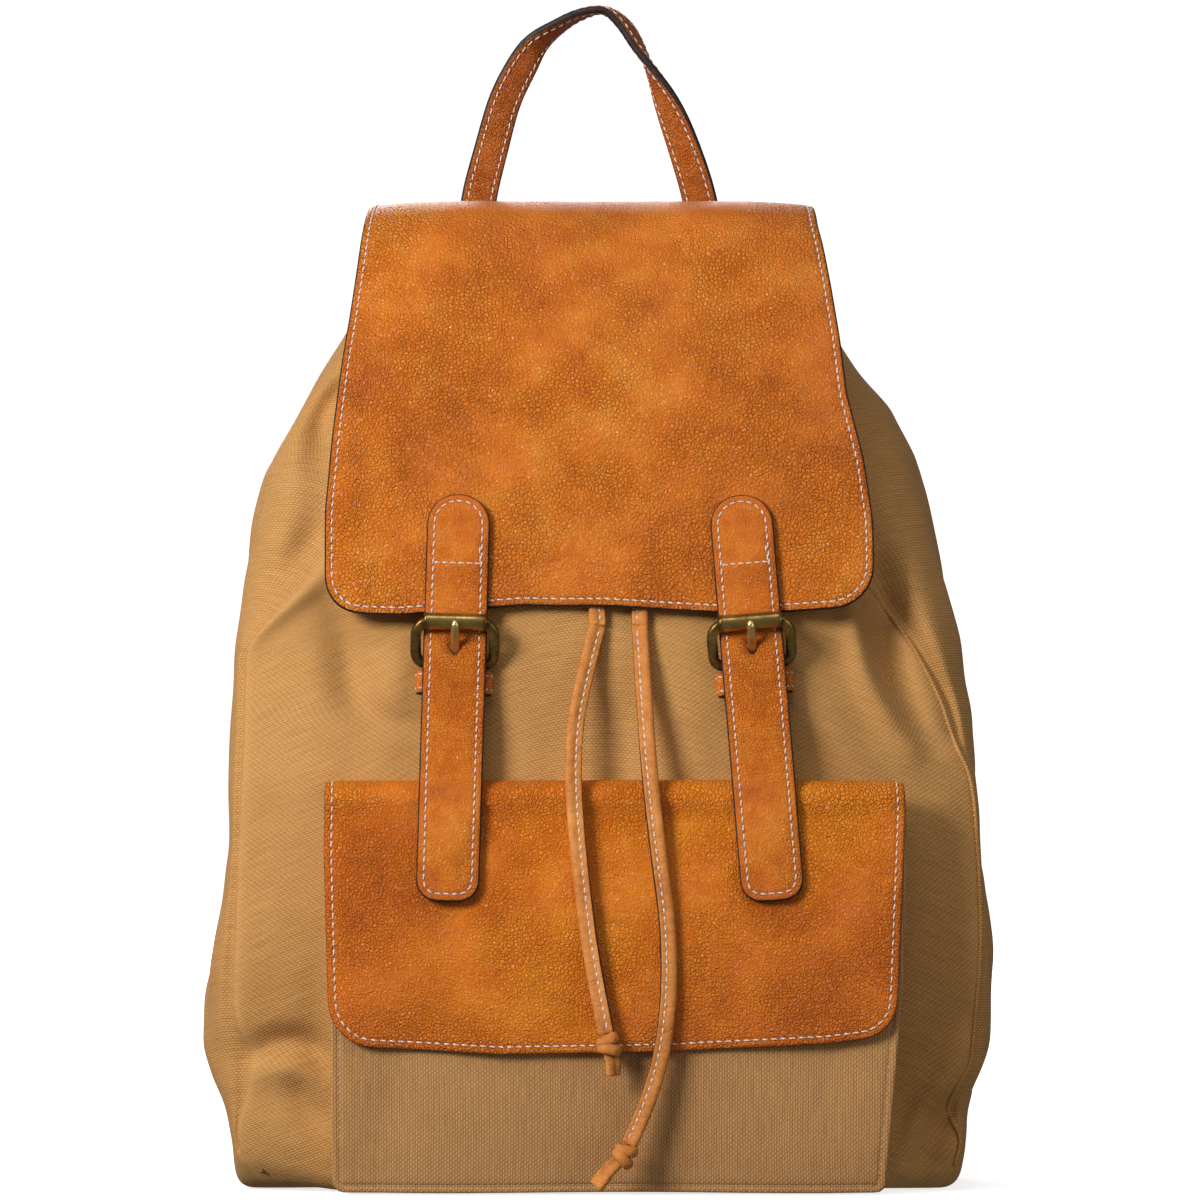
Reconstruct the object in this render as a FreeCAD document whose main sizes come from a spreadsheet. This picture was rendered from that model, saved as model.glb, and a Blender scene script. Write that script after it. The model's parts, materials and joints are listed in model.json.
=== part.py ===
"""A canvas and leather backpack: flap lid, two closure straps with roller buckles,
front pocket, drawstring, grab handle and shoulder straps.

Millimetres.  +X to the right for someone who faces the bag's front, +Y to the back
panel, +Z up.  The origin is the middle of the base, on the floor.
"""
import FreeCAD, Part
import math
import os
import types

import Sketcher

V = FreeCAD.Vector
doc = FreeCAD.newDocument("backpack")

# ------------------------------------------------------------------ driving dimensions

DIMENSIONS = {
    # the bag's outline seen from the front: half widths and their heights
    "base_half": 147, "belly_bulge": 9.5, "waist_half": 150, "waist_height": 177,
    "shoulder_half": 135, "shoulder_height": 292, "neck_half": 101, "neck_height": 341,
    "mouth_half": 87, "back_height": 385,
    # the bag's outline seen from the side: distances from the middle, and heights
    "back_y": 62, "foot_y": 60, "front_bulge": 7, "low_y": 62, "low_height": 163,
    "high_y": 33, "high_height": 300, "mouth_y": 8, "mouth_height": 375, "lip_bulge": 6.3,
    # cloth and leather
    "wall": 2.4, "base_thick": 3, "lining_thick": 0.8, "hem_thick": 2.6, "board_thick": 2.2,
    "board_gap": 14,
    "leather": 2.6, "lid_thick": 3, "lid_gap": 5,
    # front pocket and its flap
    "pocket_left": 107, "pocket_right": 118, "pocket_height": 145, "pocket_rim": 72,
    "pocket_bulge": 10, "pocket_wall": 2, "pocket_corner": 10, "flap_shoulder": 156,
    "flap_left": 110, "flap_right": 121, "flap_low": 56, "flap_corner": 32,
    "flap_axis_y": 65.5, "flap_axis_height": 161.2, "flap_nose": 2.4, "flap_gap": 0.6,
    # lid
    "lid_left": 97, "lid_right": 89, "lid_low_half": 110, "lid_low": 230, "lid_corner": 32,
    "bend_y": 2, "bend_height": 386, "crown_axis_y": 62.5, "crown_axis_height": 394,
    "crown_bulge": 3.5,
    # closure straps and buckles
    "strap_width": 25, "strap_thick": 2.4, "strap_off": 8.3, "strap_top": 277.6,
    "bar_height": 210.4, "bar_off": 4.7, "bar_radius": 1.3, "roller_off": 14.4,
    "roller_rise": 15.4, "roller_radius": 3.4, "roller_bore": 1.5, "roller_bar": 1.4,
    "roller_long": 25.2, "frame_half": 15.4, "wire_radius": 2.1, "tongue_radius": 1.2,
    "tongue_lean": 15.4, "tongue_over": 4.2, "tail_drop": 2.5, "tail_long": 95, "tail_off": 12.2,
    "chape_off": 3.2, "chape_thick": 3, "chape_long": 40.3, "keeper_wide": 31,
    "keeper_tall": 9.5, "keeper_drop": 3.1, "keeper_thick": 1.4, "snap_radius": 8, "snap_drop": 24,
    # drawstring
    "cord": 4.4, "eyelet_bore": 4.2, "eyelet_lip": 1, "knot_radius": 5,
    # grab handle
    "handle_half": 53, "handle_rise": 96.5, "handle_wide": 12, "handle_thick": 8,
    "handle_axis_y": 71.5, "handle_axis_height": 389,
    # shoulder straps
    "yoke_half": 62, "yoke_low": 322, "harness_wide": 40, "harness_thick": 5,
    "harness_long": 190, "harness_bow": 17, "lower_wide": 25, "lower_thick": 2.6,
    "lower_long": 122, "harness_x": 28, "harness_height": 333, "harness_lean": 15,
}


class Size:
    """A length: its value now, and the expression that works it out from the sheet."""

    def __init__(self, value, text):
        self.value = value
        self.text = text

    def __add__(self, other):
        other = size(other)
        return Size(self.value + other.value, f"({self.text} + {other.text})")

    def __sub__(self, other):
        return self + -size(other)

    def __mul__(self, other):
        other = size(other)
        return Size(self.value * other.value, f"{self.text} * {other.text}")

    def __truediv__(self, other):
        other = size(other)
        return Size(self.value / other.value, f"({self.text}) / ({other.text})")

    def __neg__(self):
        return Size(-self.value, f"(-1 * {self.text})")

    def __radd__(self, other):
        return size(other) + self

    def __rsub__(self, other):
        return size(other) - self

    def __rmul__(self, other):
        return size(other) * self


def size(number):
    return number if isinstance(number, Size) else Size(float(number), f"({float(number)})")


def root(square):
    return Size(math.sqrt(square.value), f"sqrt({square.text})")


sheet = doc.addObject("Spreadsheet::Sheet", "dims")
for row, (alias, number) in enumerate(DIMENSIONS.items(), start=1):
    sheet.set(f"A{row}", alias)
    sheet.set(f"B{row}", str(number))
    sheet.setAlias(f"B{row}", alias)
doc.recompute()
d = types.SimpleNamespace(**{alias: Size(float(number), f"dims.{alias}")
                             for alias, number in DIMENSIONS.items()})

# the front panel's upper part is flat and leans back: its lean, and the way along it
rise = d.high_height - d.low_height
run = d.low_y - d.high_y
LEAN = math.atan2(run.value, rise.value)
lean_text = f"atan(({run.text}) / ({rise.text}))"
lean_cos = Size(math.cos(LEAN), f"cos({lean_text})")
lean_sin = Size(math.sin(LEAN), f"sin({lean_text})")


def on_front(height, off=0):
    """The (y, z) point `off` in front of the flat part of the front panel."""
    y = run / rise * (height - d.low_height) - d.low_y - off * lean_cos
    return y, height + off * lean_sin


# ------------------------------------------------------------------ building blocks

nodes = []


def node(made, name, placement=None):
    """Name a finished sub-part and place it."""
    made.Label = name
    if placement is not None:
        made.Placement = placement
    nodes.append(made)
    return made


def bind(made, **sizes):
    """Tie properties of an object to the sheet."""
    for name, wanted in sizes.items():
        made.setExpression(name, size(wanted).text)


def draw(body, role, points, bulges):
    """A closed outline through the points; bulges gives the sagitta of edges that are arcs."""
    sketch = body.newObject("Sketcher::SketchObject", f"{body.Name}_outline")
    plane = next(p for p in body.Origin.OriginFeatures if p.Role == role)
    sketch.AttachmentSupport = [(plane, "")]
    sketch.MapMode = "FlatFace"
    corners = [(size(a), size(b)) for a, b in points]
    spots = [V(a.value, b.value, 0) for a, b in corners]
    count = len(spots)
    for i, start in enumerate(spots):
        end = spots[(i + 1) % count]
        if i in bulges:
            along = (end - start).normalize()
            middle = (start + end) * 0.5 + V(along.y, -along.x, 0) * size(bulges[i]).value
            sketch.addGeometry(Part.Arc(start, middle, end), False)
        else:
            sketch.addGeometry(Part.LineSegment(start, end), False)

    def end_at(edge, spot):
        return 1 if (sketch.getPoint(edge, 1) - spot).Length < 1e-6 else 2

    for i, ((x, y), spot) in enumerate(zip(corners, spots)):
        before = (i - 1) % count
        here = end_at(i, spot)
        sketch.addConstraint(Sketcher.Constraint("Coincident", before, end_at(before, spot), i, here))
        for kind, wanted in (("DistanceX", x), ("DistanceY", y)):
            made = sketch.addConstraint(Sketcher.Constraint(kind, -1, 1, i, here, wanted.value))
            sketch.setExpression(f"Constraints[{made}]", wanted.text)
    for i, bulge in bulges.items():
        bow = size(bulge) if size(bulge).value > 0 else -size(bulge)
        (x0, y0), (x1, y1) = corners[i], corners[(i + 1) % count]
        radius = ((x1 - x0) * (x1 - x0) + (y1 - y0) * (y1 - y0)) / (8 * bow) + bow / 2
        made = sketch.addConstraint(Sketcher.Constraint("Radius", i, radius.value))
        sketch.setExpression(f"Constraints[{made}]", radius.text)
    return sketch


def prism(name, role, points, bulges, length):
    """An outline padded half of the length to either side of its plane."""
    body = doc.addObject("PartDesign::Body", name)
    pad = body.newObject("PartDesign::Pad", f"{name}_pad")
    pad.Profile = draw(body, role, points, bulges)
    pad.SideType = "Symmetric"
    bind(pad, Length=length)
    body.Tip = pad
    return body


def seen_from_front(name, points, bulges, depth=400):
    return prism(name, "XZ_Plane", points, bulges, depth)


def seen_from_side(name, points, bulges, width=400):
    return prism(name, "YZ_Plane", points, bulges, width)


def about_x(degrees):
    return FreeCAD.Placement(V(), FreeCAD.Rotation(V(1, 0, 0), degrees))


def move(x=0, y=0, z=0):
    return FreeCAD.Placement(V(x, y, z), FreeCAD.Rotation())


def combine(kind, name, first, second):
    made = doc.addObject(f"Part::{kind}", name)
    made.Base = first
    made.Tool = second
    return made


def fused(name, shapes):
    made = doc.addObject("Part::MultiFuse", name)
    made.Shapes = shapes
    return made


def cylinder(name, radius, height, placement=FreeCAD.Placement()):
    made = doc.addObject("Part::Cylinder", name)
    bind(made, Radius=radius, Height=height)
    made.Placement = placement
    return made


def crossbar(name, radius, long, y=0, z=0):
    """A cylinder along X, centred on the middle plane."""
    start = V(-size(long).value / 2, size(y).value, size(z).value)
    return cylinder(name, radius, long, FreeCAD.Placement(start, FreeCAD.Rotation(V(0, 1, 0), 90)))


def sphere(name, radius, at):
    made = doc.addObject("Part::Sphere", name)
    bind(made, Radius=radius)
    made.Placement.Base = at
    return made


def block(name, width, depth, height, corner):
    """A box whose least corner is given as sizes."""
    made = doc.addObject("Part::Box", name)
    bind(made, Length=width, Width=depth, Height=height)
    made.Placement.Base = V(*[size(c).value for c in corner])
    return made


QUARTER = 1 - math.sqrt(0.5)


def rounded(left, right, low, high, low_radius=0, high_radius=0):
    """A rectangle with its lower and its upper corners rounded: points and bulges."""
    points = []
    bulges = {}

    def corner(radius, before, sharp, after):
        if size(radius).value == 0:
            points.append(sharp)
            return
        bulges[len(points)] = QUARTER * size(radius)
        points.extend((before, after))

    low_r, high_r = size(low_radius), size(high_radius)
    corner(low_r, (left, low + low_r), (left, low), (left + low_r, low))
    corner(low_r, (right - low_r, low), (right, low), (right, low + low_r))
    corner(high_r, (right, high - high_r), (right, high), (right - high_r, high))
    corner(high_r, (left + high_r, high), (left, high), (left, high - high_r))
    return points, bulges


# ------------------------------------------------------------------ the bag's walls

LEVELS = [(d.base_half, size(0)), (d.waist_half, d.waist_height),
          (d.shoulder_half, d.shoulder_height), (d.neck_half, d.neck_height),
          (d.mouth_half, d.back_height)]


def silhouette(name, inset, floor, first=0, last=4):
    """The bag seen from the front between two of its levels, drawn in by the inset."""
    levels = [(half - inset, height) for half, height in LEVELS[first:last + 1]]
    if first == 0:
        levels[0] = (levels[0][0], size(floor))
    right = levels
    left = [(-half, height) for half, height in reversed(levels)]
    bulges = {}
    if first == 0:
        bulges = {0: d.belly_bulge, 2 * len(levels) - 2: d.belly_bulge}
    return seen_from_front(name, right + left, bulges)


def front_line(inset):
    """The front of the bag seen from the side, from the foot to the mouth."""
    return [(inset - d.foot_y, size(0)), (inset - d.low_y, d.low_height),
            (inset - d.high_y, d.high_height), (inset + d.mouth_y, d.mouth_height)]


def side_view(name, inset):
    """The bag seen from the side, drawn in by the inset."""
    inset = size(inset)
    back = [(d.back_y - inset, size(0)), (d.back_y - inset, d.back_height)]
    points = back + list(reversed(front_line(inset)))
    return seen_from_side(name, points, {2: d.lip_bulge, 4: d.front_bulge})


def make_walls():
    band = list(front_line(size(0))) + list(reversed(front_line(d.wall)))
    bows = {0: -d.front_bulge, 2: -d.lip_bulge, 4: d.lip_bulge, 6: d.front_bulge}
    front = combine("Common", "front_cloth", silhouette("front_shape", 0, 0),
                    seen_from_side("front_band", band, bows))
    holes = fused("eyelet_holes", [cylinder(f"hole_{side}", d.eyelet_bore + d.eyelet_lip, 12,
                                            eyelet_frame(x, -6))
                                   for side, x in EYELETS.items()])
    node(combine("Cut", "front_open", front, holes), "front_panel")

    back_slab = block("back_slab", 400, d.wall, d.back_height, (-200, d.back_y - d.wall, 0))
    node(combine("Common", "back_cloth", silhouette("back_shape", 0, 0), back_slab), "back_panel")

    for side, sign in (("left", -1), ("right", 1)):
        outer = [(sign * half, height) for half, height in LEVELS]
        inner = [(sign * (half - d.wall), height) for half, height in LEVELS]
        outer[0] = (sign * d.base_half, d.base_thick)
        inner[0] = (sign * (d.base_half - d.wall), d.base_thick)
        strip = seen_from_front(f"gusset_strip_{side}", outer + list(reversed(inner)),
                                {0: sign * d.belly_bulge, 8: -sign * d.belly_bulge})
        node(combine("Common", f"gusset_cloth_{side}", strip, side_view(f"gusset_run_{side}", d.wall)),
             f"gusset_{side}")

    depth = d.back_y + d.foot_y - 2 * d.wall
    node(block("base_cloth", 2 * d.base_half, depth, d.base_thick,
               (-d.base_half, d.wall - d.foot_y, 0)), "base_panel")


def inside(name, inset, floor, first, last):
    """The space inside the walls between two levels of the bag."""
    return combine("Common", name, silhouette(f"{name}_front", inset, floor, first, last),
                   side_view(f"{name}_side", inset))


def make_insides():
    skin = d.wall + d.lining_thick
    node(combine("Cut", "lining_cloth",
                 inside("lining_out", d.wall, d.base_thick, 0, 3),
                 inside("lining_in", skin, d.base_thick + d.lining_thick, 0, 3)), "lining")
    hem = combine("Cut", "hem_cloth", inside("hem_out", d.wall, 0, 3, 4),
                  inside("hem_in", d.wall + d.hem_thick, 0, 3, 4))
    holes = fused("hem_holes", [cylinder(f"hem_hole_{side}", d.eyelet_bore + d.eyelet_lip, 12,
                                         eyelet_frame(x, -9))
                                for side, x in EYELETS.items()])
    node(combine("Cut", "hem_open", hem, holes), "mouth_hem")

    margin = skin + d.board_gap
    node(block("stiffener", 2 * (d.base_half - margin), d.back_y + d.foot_y - 2 * margin, d.board_thick,
               (margin - d.base_half, margin - d.foot_y, d.base_thick + d.lining_thick)),
         "base_board")


# ------------------------------------------------------------------ the drawstring

# the upper part of the front panel is an arc; the eyelets sit this far round it
EYELET_TURN = math.radians(33)
EYELETS = {"left": -16.0, "right": 18.0}


def lip_arc():
    """Centre (y, z) and radius of the arc that carries the front panel to the mouth."""
    y0, z0 = -d.high_y.value, d.high_height.value
    y1, z1 = d.mouth_y.value, d.mouth_height.value
    chord = math.hypot(y1 - y0, z1 - z0)
    bow = d.lip_bulge.value
    radius = chord * chord / (8 * bow) + bow / 2
    reach = radius - bow
    across = ((z1 - z0) / chord, -(y1 - y0) / chord)
    return (y0 + y1) / 2 + across[0] * reach, (z0 + z1) / 2 + across[1] * reach, radius


def eyelet_spot(off):
    """The (y, z) point `off` in front of the front panel on the eyelets' own line."""
    y, z, radius = lip_arc()
    return y - (radius + off) * math.cos(EYELET_TURN), z + (radius + off) * math.sin(EYELET_TURN)


def eyelet_frame(x, off):
    """At an eyelet, with +Z pointing out of the bag."""
    y, z = eyelet_spot(off)
    return FreeCAD.Placement(V(x, y, z), FreeCAD.Rotation(V(0, 0, 1), V(0, -math.cos(EYELET_TURN),
                                                                        math.sin(EYELET_TURN))))


def route(points):
    """Straight runs joined by arcs as large as the runs allow: the path and its radii."""
    points = [V(*p) for p in points]
    edges = []
    radii = []
    start = points[0]
    for before, corner, after in zip(points, points[1:], points[2:]):
        back = (before - corner).normalize()
        on = (after - corner).normalize()
        half_turn = (math.pi - back.getAngle(on)) / 2
        reach = 0.45 * min((before - corner).Length, (after - corner).Length)
        radius = reach / math.tan(half_turn)
        radii.append(radius)
        first = corner + back * reach
        last = corner + on * reach
        centre = corner + (back + on).normalize() * (radius / math.cos(half_turn))
        middle = centre + (corner - centre).normalize() * radius
        edges.append(Part.LineSegment(start, first).toShape())
        edges.append(Part.Arc(first, middle, last).toShape())
        start = last
    edges.append(Part.LineSegment(start, points[-1]).toShape())
    return Part.Wire(edges), radii


def cord(name, points):
    """A round cord along a route."""
    path, radii = route(points)
    radius = d.cord.value / 2
    heading = path.Edges[0].tangentAt(0)
    ring = Part.Wire(Part.makeCircle(radius, V(*points[0]), heading))
    tube = path.makePipeShell([ring], True, False)
    wanted = math.pi * radius * radius * path.Length
    print(f"{name}: length {path.Length:.1f}, radii", " ".join(f"{r:.0f}" for r in radii),
          f"volume {tube.Volume:.1f} of {wanted:.1f}")
    made = doc.addObject("Part::Feature", name)
    made.Shape = tube
    return made


# where each tail hangs, from under the lid to its knot, and where its cut end points
TAIL_TOP_OFF = 2.9
TAIL_TOP_HEIGHT = 226
TAILS = {
    "left": [(-1, None, TAIL_TOP_HEIGHT), (-7, -62, 204), (-10.8, -72, 182), (-10.5, -80, 156),
             (-7, -87, 122), (-3, -90.4, 92), (2.4, -91.6, 65)],
    "right": [(16, None, TAIL_TOP_HEIGHT), (17.5, -62.5, 200), (19.5, -76, 170), (23, -84.6, 138),
              (27.5, -88.2, 105), (27.2, -89.4, 72), (21.5, -88.4, 42), (11.6, -87.2, 21)],
}
CUT_ENDS = {"left": (5, -91, 48.5), "right": (-1.5, -86.4, 4.2)}


def tail_route(side):
    """The tail's points, the first one lying on the front panel."""
    (x, _, height), *rest = TAILS[side]
    y, z = on_front(size(height), TAIL_TOP_OFF)
    return [(x, y.value, z.value)] + rest


def make_drawstring():
    for side, x in EYELETS.items():
        ring = cylinder(f"ring_{side}", d.eyelet_bore + 2.4 * d.eyelet_lip, 0.8 * d.eyelet_lip)
        barrel = cylinder(f"barrel_{side}", d.eyelet_bore + d.eyelet_lip, d.wall + d.eyelet_lip,
                          move(0, 0, -d.wall.value))
        bore = cylinder(f"bore_{side}", d.eyelet_bore, 20, move(0, 0, -10))
        node(combine("Cut", f"eyelet_metal_{side}", fused(f"eyelet_blank_{side}", [ring, barrel]), bore),
             f"eyelet_{side}", eyelet_frame(x, 0))

        tail = tail_route(side)
        low_y, low_z = on_front(size(TAIL_TOP_HEIGHT + 4), TAIL_TOP_OFF - 0.3)
        bend_y, bend_z = on_front(size(316), TAIL_TOP_OFF - 0.3)
        share = (bend_z.value - low_z.value) / (eyelet_spot(0)[1] - low_z.value)
        low_x = tail[0][0]
        upper = [(low_x, low_y.value, low_z.value),
                 (low_x + (x - low_x) * share, bend_y.value, bend_z.value),
                 (x, *eyelet_spot(4.4)), (x, *eyelet_spot(-7))]
        node(cord(f"upper_{side}", upper), f"drawcord_upper_{side}")
        node(cord(f"tail_{side}", tail), f"drawcord_tail_{side}")

        heading = (V(*tail[-1]) - V(*tail[-2])).normalize()
        centre = V(*tail[-1]) + heading * d.knot_radius.value
        stub = V(*CUT_ENDS[side]) - centre
        end = cylinder(f"stub_{side}", d.cord / 2, stub.Length,
                       FreeCAD.Placement(centre, FreeCAD.Rotation(V(0, 0, 1), stub)))
        node(fused(f"knot_blank_{side}", [sphere(f"ball_{side}", d.knot_radius, centre), end]),
             f"drawcord_knot_{side}")


# ------------------------------------------------------------------ the front pocket

def pocket_solid(name, inset, top):
    """The pocket's bulk, reaching back into the bag."""
    inset = size(inset)
    inward = size(50)
    seen = rounded(inset - d.pocket_left, d.pocket_right - inset, inset, top, d.pocket_corner)
    profile = [(-inward, inset), (-inward, top), (inset - d.pocket_rim, top),
               (inset - d.pocket_rim, inset)]
    return combine("Common", name, seen_from_front(f"{name}_front", *seen),
                   seen_from_side(f"{name}_side", profile, {2: d.pocket_bulge}))


def on_pocket(height, off):
    """The (y, z) point `off` in front of the pocket's round face."""
    radius = pocket_radius()
    up = height - d.pocket_height / 2
    return radius - d.pocket_bulge - d.pocket_rim - root((radius + off) * (radius + off) - up * up), height


def pocket_radius():
    return d.pocket_height * d.pocket_height / (8 * d.pocket_bulge) + d.pocket_bulge / 2


def pocket_bow(low, high, off):
    """Sagitta of the arc `off` in front of the pocket's face between two points on it."""
    radius = pocket_radius() + off
    half_y = (high[0] - low[0]) / 2
    half_z = (high[1] - low[1]) / 2
    return radius - root(radius * radius - half_y * half_y - half_z * half_z)


def make_pocket():
    shell = combine("Cut", "pocket_shell", pocket_solid("pocket_out", 0, d.pocket_height),
                    pocket_solid("pocket_in", d.pocket_wall, d.pocket_height + 9))
    bulk = combine("Common", "bag_bulk", silhouette("bulk_front", 0, 0), side_view("bulk_side", 0))
    node(combine("Cut", "pocket_cloth", shell, bulk), "pocket_body")

    # seen from the side the flap turns about a round nose, then follows the pocket
    nose = d.flap_nose
    off = d.flap_gap + d.leather
    low = d.flap_low - 6
    outer_high = on_pocket(d.flap_shoulder, off)
    outer_low = on_pocket(low, off)
    inner_low = on_pocket(low, d.flap_gap)
    inner_high = on_pocket(d.flap_shoulder, d.flap_gap)
    profile = [(-d.flap_axis_y, d.flap_axis_height + nose), outer_high, outer_low, inner_low, inner_high,
               (inner_high[0] + 0.6, inner_high[1] + 0.7), (-d.flap_axis_y, d.flap_axis_height - nose)]
    side = seen_from_side("flap_side", profile,
                          {0: size(1.2), 1: pocket_bow(outer_low, outer_high, off),
                           3: -pocket_bow(inner_low, inner_high, d.flap_gap), 6: nose * 0.9999})
    front = seen_from_front("flap_front", *rounded(-d.flap_left, d.flap_right, d.flap_low,
                                                   d.flap_axis_height + 9, d.flap_corner))
    node(combine("Common", "flap_leather", side, front), "pocket_flap")


# ------------------------------------------------------------------ the lid

def make_lid():
    inner_low = on_front(d.lid_low - 8, d.lid_gap)
    inner_high = on_front(d.high_height, d.lid_gap)
    outer_low = on_front(d.lid_low - 8, d.lid_gap + d.lid_thick)
    outer_high = on_front(d.high_height, d.lid_gap + d.lid_thick)
    bend_in = (d.bend_y, d.bend_height)
    bend_out = (d.bend_y - 0.78 * d.lid_thick, d.bend_height + 0.62 * d.lid_thick)
    profile = [inner_low, inner_high, bend_in, bend_out, outer_high, outer_low]
    side = seen_from_side("lid_side", profile, {1: -size(5.3), 2: d.lid_thick * 0.5 * 0.996,
                                                3: size(5.5)})
    top = d.bend_height + 12
    low = d.lid_low
    corner = d.lid_corner
    points = [(-d.lid_left, top), (-d.lid_low_half, low + corner), (-d.lid_low_half + corner, low),
              (d.lid_low_half - corner, low + 1), (d.lid_low_half, low + corner + 1),
              (d.lid_right, top)]
    arc = QUARTER * corner
    front = seen_from_front("lid_front", points, {1: arc, 2: -size(4.5), 3: arc})
    node(combine("Common", "lid_leather", side, front), "lid_flap")

    # the crown: from the bend line back to the seam on the back panel
    half = d.lid_thick / 2
    start_y = d.bend_y + 2.7
    start_z = d.bend_height + 3.2
    crown = [(start_y, start_z), (d.crown_axis_y, d.crown_axis_height - half),
             (d.crown_axis_y, d.crown_axis_height + half), (start_y - 1.5, start_z + 2.6)]
    cover = seen_from_side("crown_side", crown, {0: -d.crown_bulge, 1: half * 0.9999, 2: d.crown_bulge},
                           d.lid_left + d.lid_right)
    node(cover, "lid_crown", move((d.lid_right - d.lid_left).value / 2))


# ------------------------------------------------------------------ closure straps

# each strap's place across the front at the buckle's lower bar, and its lean in degrees
STRAPS = {"left": (-58.1, 1.5), "right": (61.2, -4.5)}
FRAME_TILT = math.degrees(math.atan2((d.roller_off - d.bar_off).value, d.roller_rise.value))
FRAME_LONG = math.hypot((d.roller_off - d.bar_off).value, d.roller_rise.value)


def strap_frame(side):
    """On the front panel at the lower bar: +Z up along the strap, -Y out of the bag."""
    x, lean = STRAPS[side]
    y, z = on_front(d.bar_height)
    turn = FreeCAD.Rotation(V(1, 0, 0), -math.degrees(LEAN)) * FreeCAD.Rotation(V(0, 1, 0), lean)
    return FreeCAD.Placement(V(x, y.value, z.value), turn)


def harness_frame(side):
    """On the back panel at a shoulder strap's top: +Z up along the strap, +Y out of the bag."""
    sign = -1 if side == "left" else 1
    turn = FreeCAD.Rotation(V(0, 1, 0), -sign * d.harness_lean.value)
    return FreeCAD.Placement(V(sign * d.harness_x.value, d.back_y.value, d.harness_height.value), turn)


def wire_frame(name, rise, top_bar):
    """A rectangular wire buckle frame standing on its lower bar, which lies on the X axis."""
    span = size(rise)
    pieces = [crossbar(f"{name}_low", d.bar_radius, 2 * d.frame_half),
              crossbar(f"{name}_high", top_bar, 2 * d.frame_half, 0, span)]
    for place, sign in (("a", -1), ("b", 1)):
        x = sign * d.frame_half.value
        pieces.append(cylinder(f"{name}_side_{place}", d.wire_radius, span, move(x)))
        pieces.append(sphere(f"{name}_foot_{place}", d.wire_radius, V(x, 0, 0)))
        pieces.append(sphere(f"{name}_head_{place}", d.wire_radius, V(x, 0, span.value)))
    return fused(f"{name}_wire", pieces)


def tongue(name, reach):
    """A buckle tongue hooked round the X axis, pointing up."""
    eye = crossbar(f"{name}_eye", d.bar_radius + 1.4, 3.2)
    shaft = cylinder(f"{name}_shaft", d.tongue_radius, size(reach) - 1.4, move(0, 0, 1.4))
    tip = sphere(f"{name}_tip", d.tongue_radius, V(0, 0, size(reach).value))
    bore = crossbar(f"{name}_bore", d.bar_radius + 0.06, 8)
    return combine("Cut", f"{name}_metal", fused(f"{name}_blank", [eye, shaft, tip]), bore)


def plate(name, half, low, high, low_radius, high_radius, thick, y):
    """A flat leather piece facing along Y, its middle plane at y."""
    made = seen_from_front(name, *rounded(-half, half, low, high, low_radius, high_radius), thick)
    made.Placement = move(0, y, 0)
    return made


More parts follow.
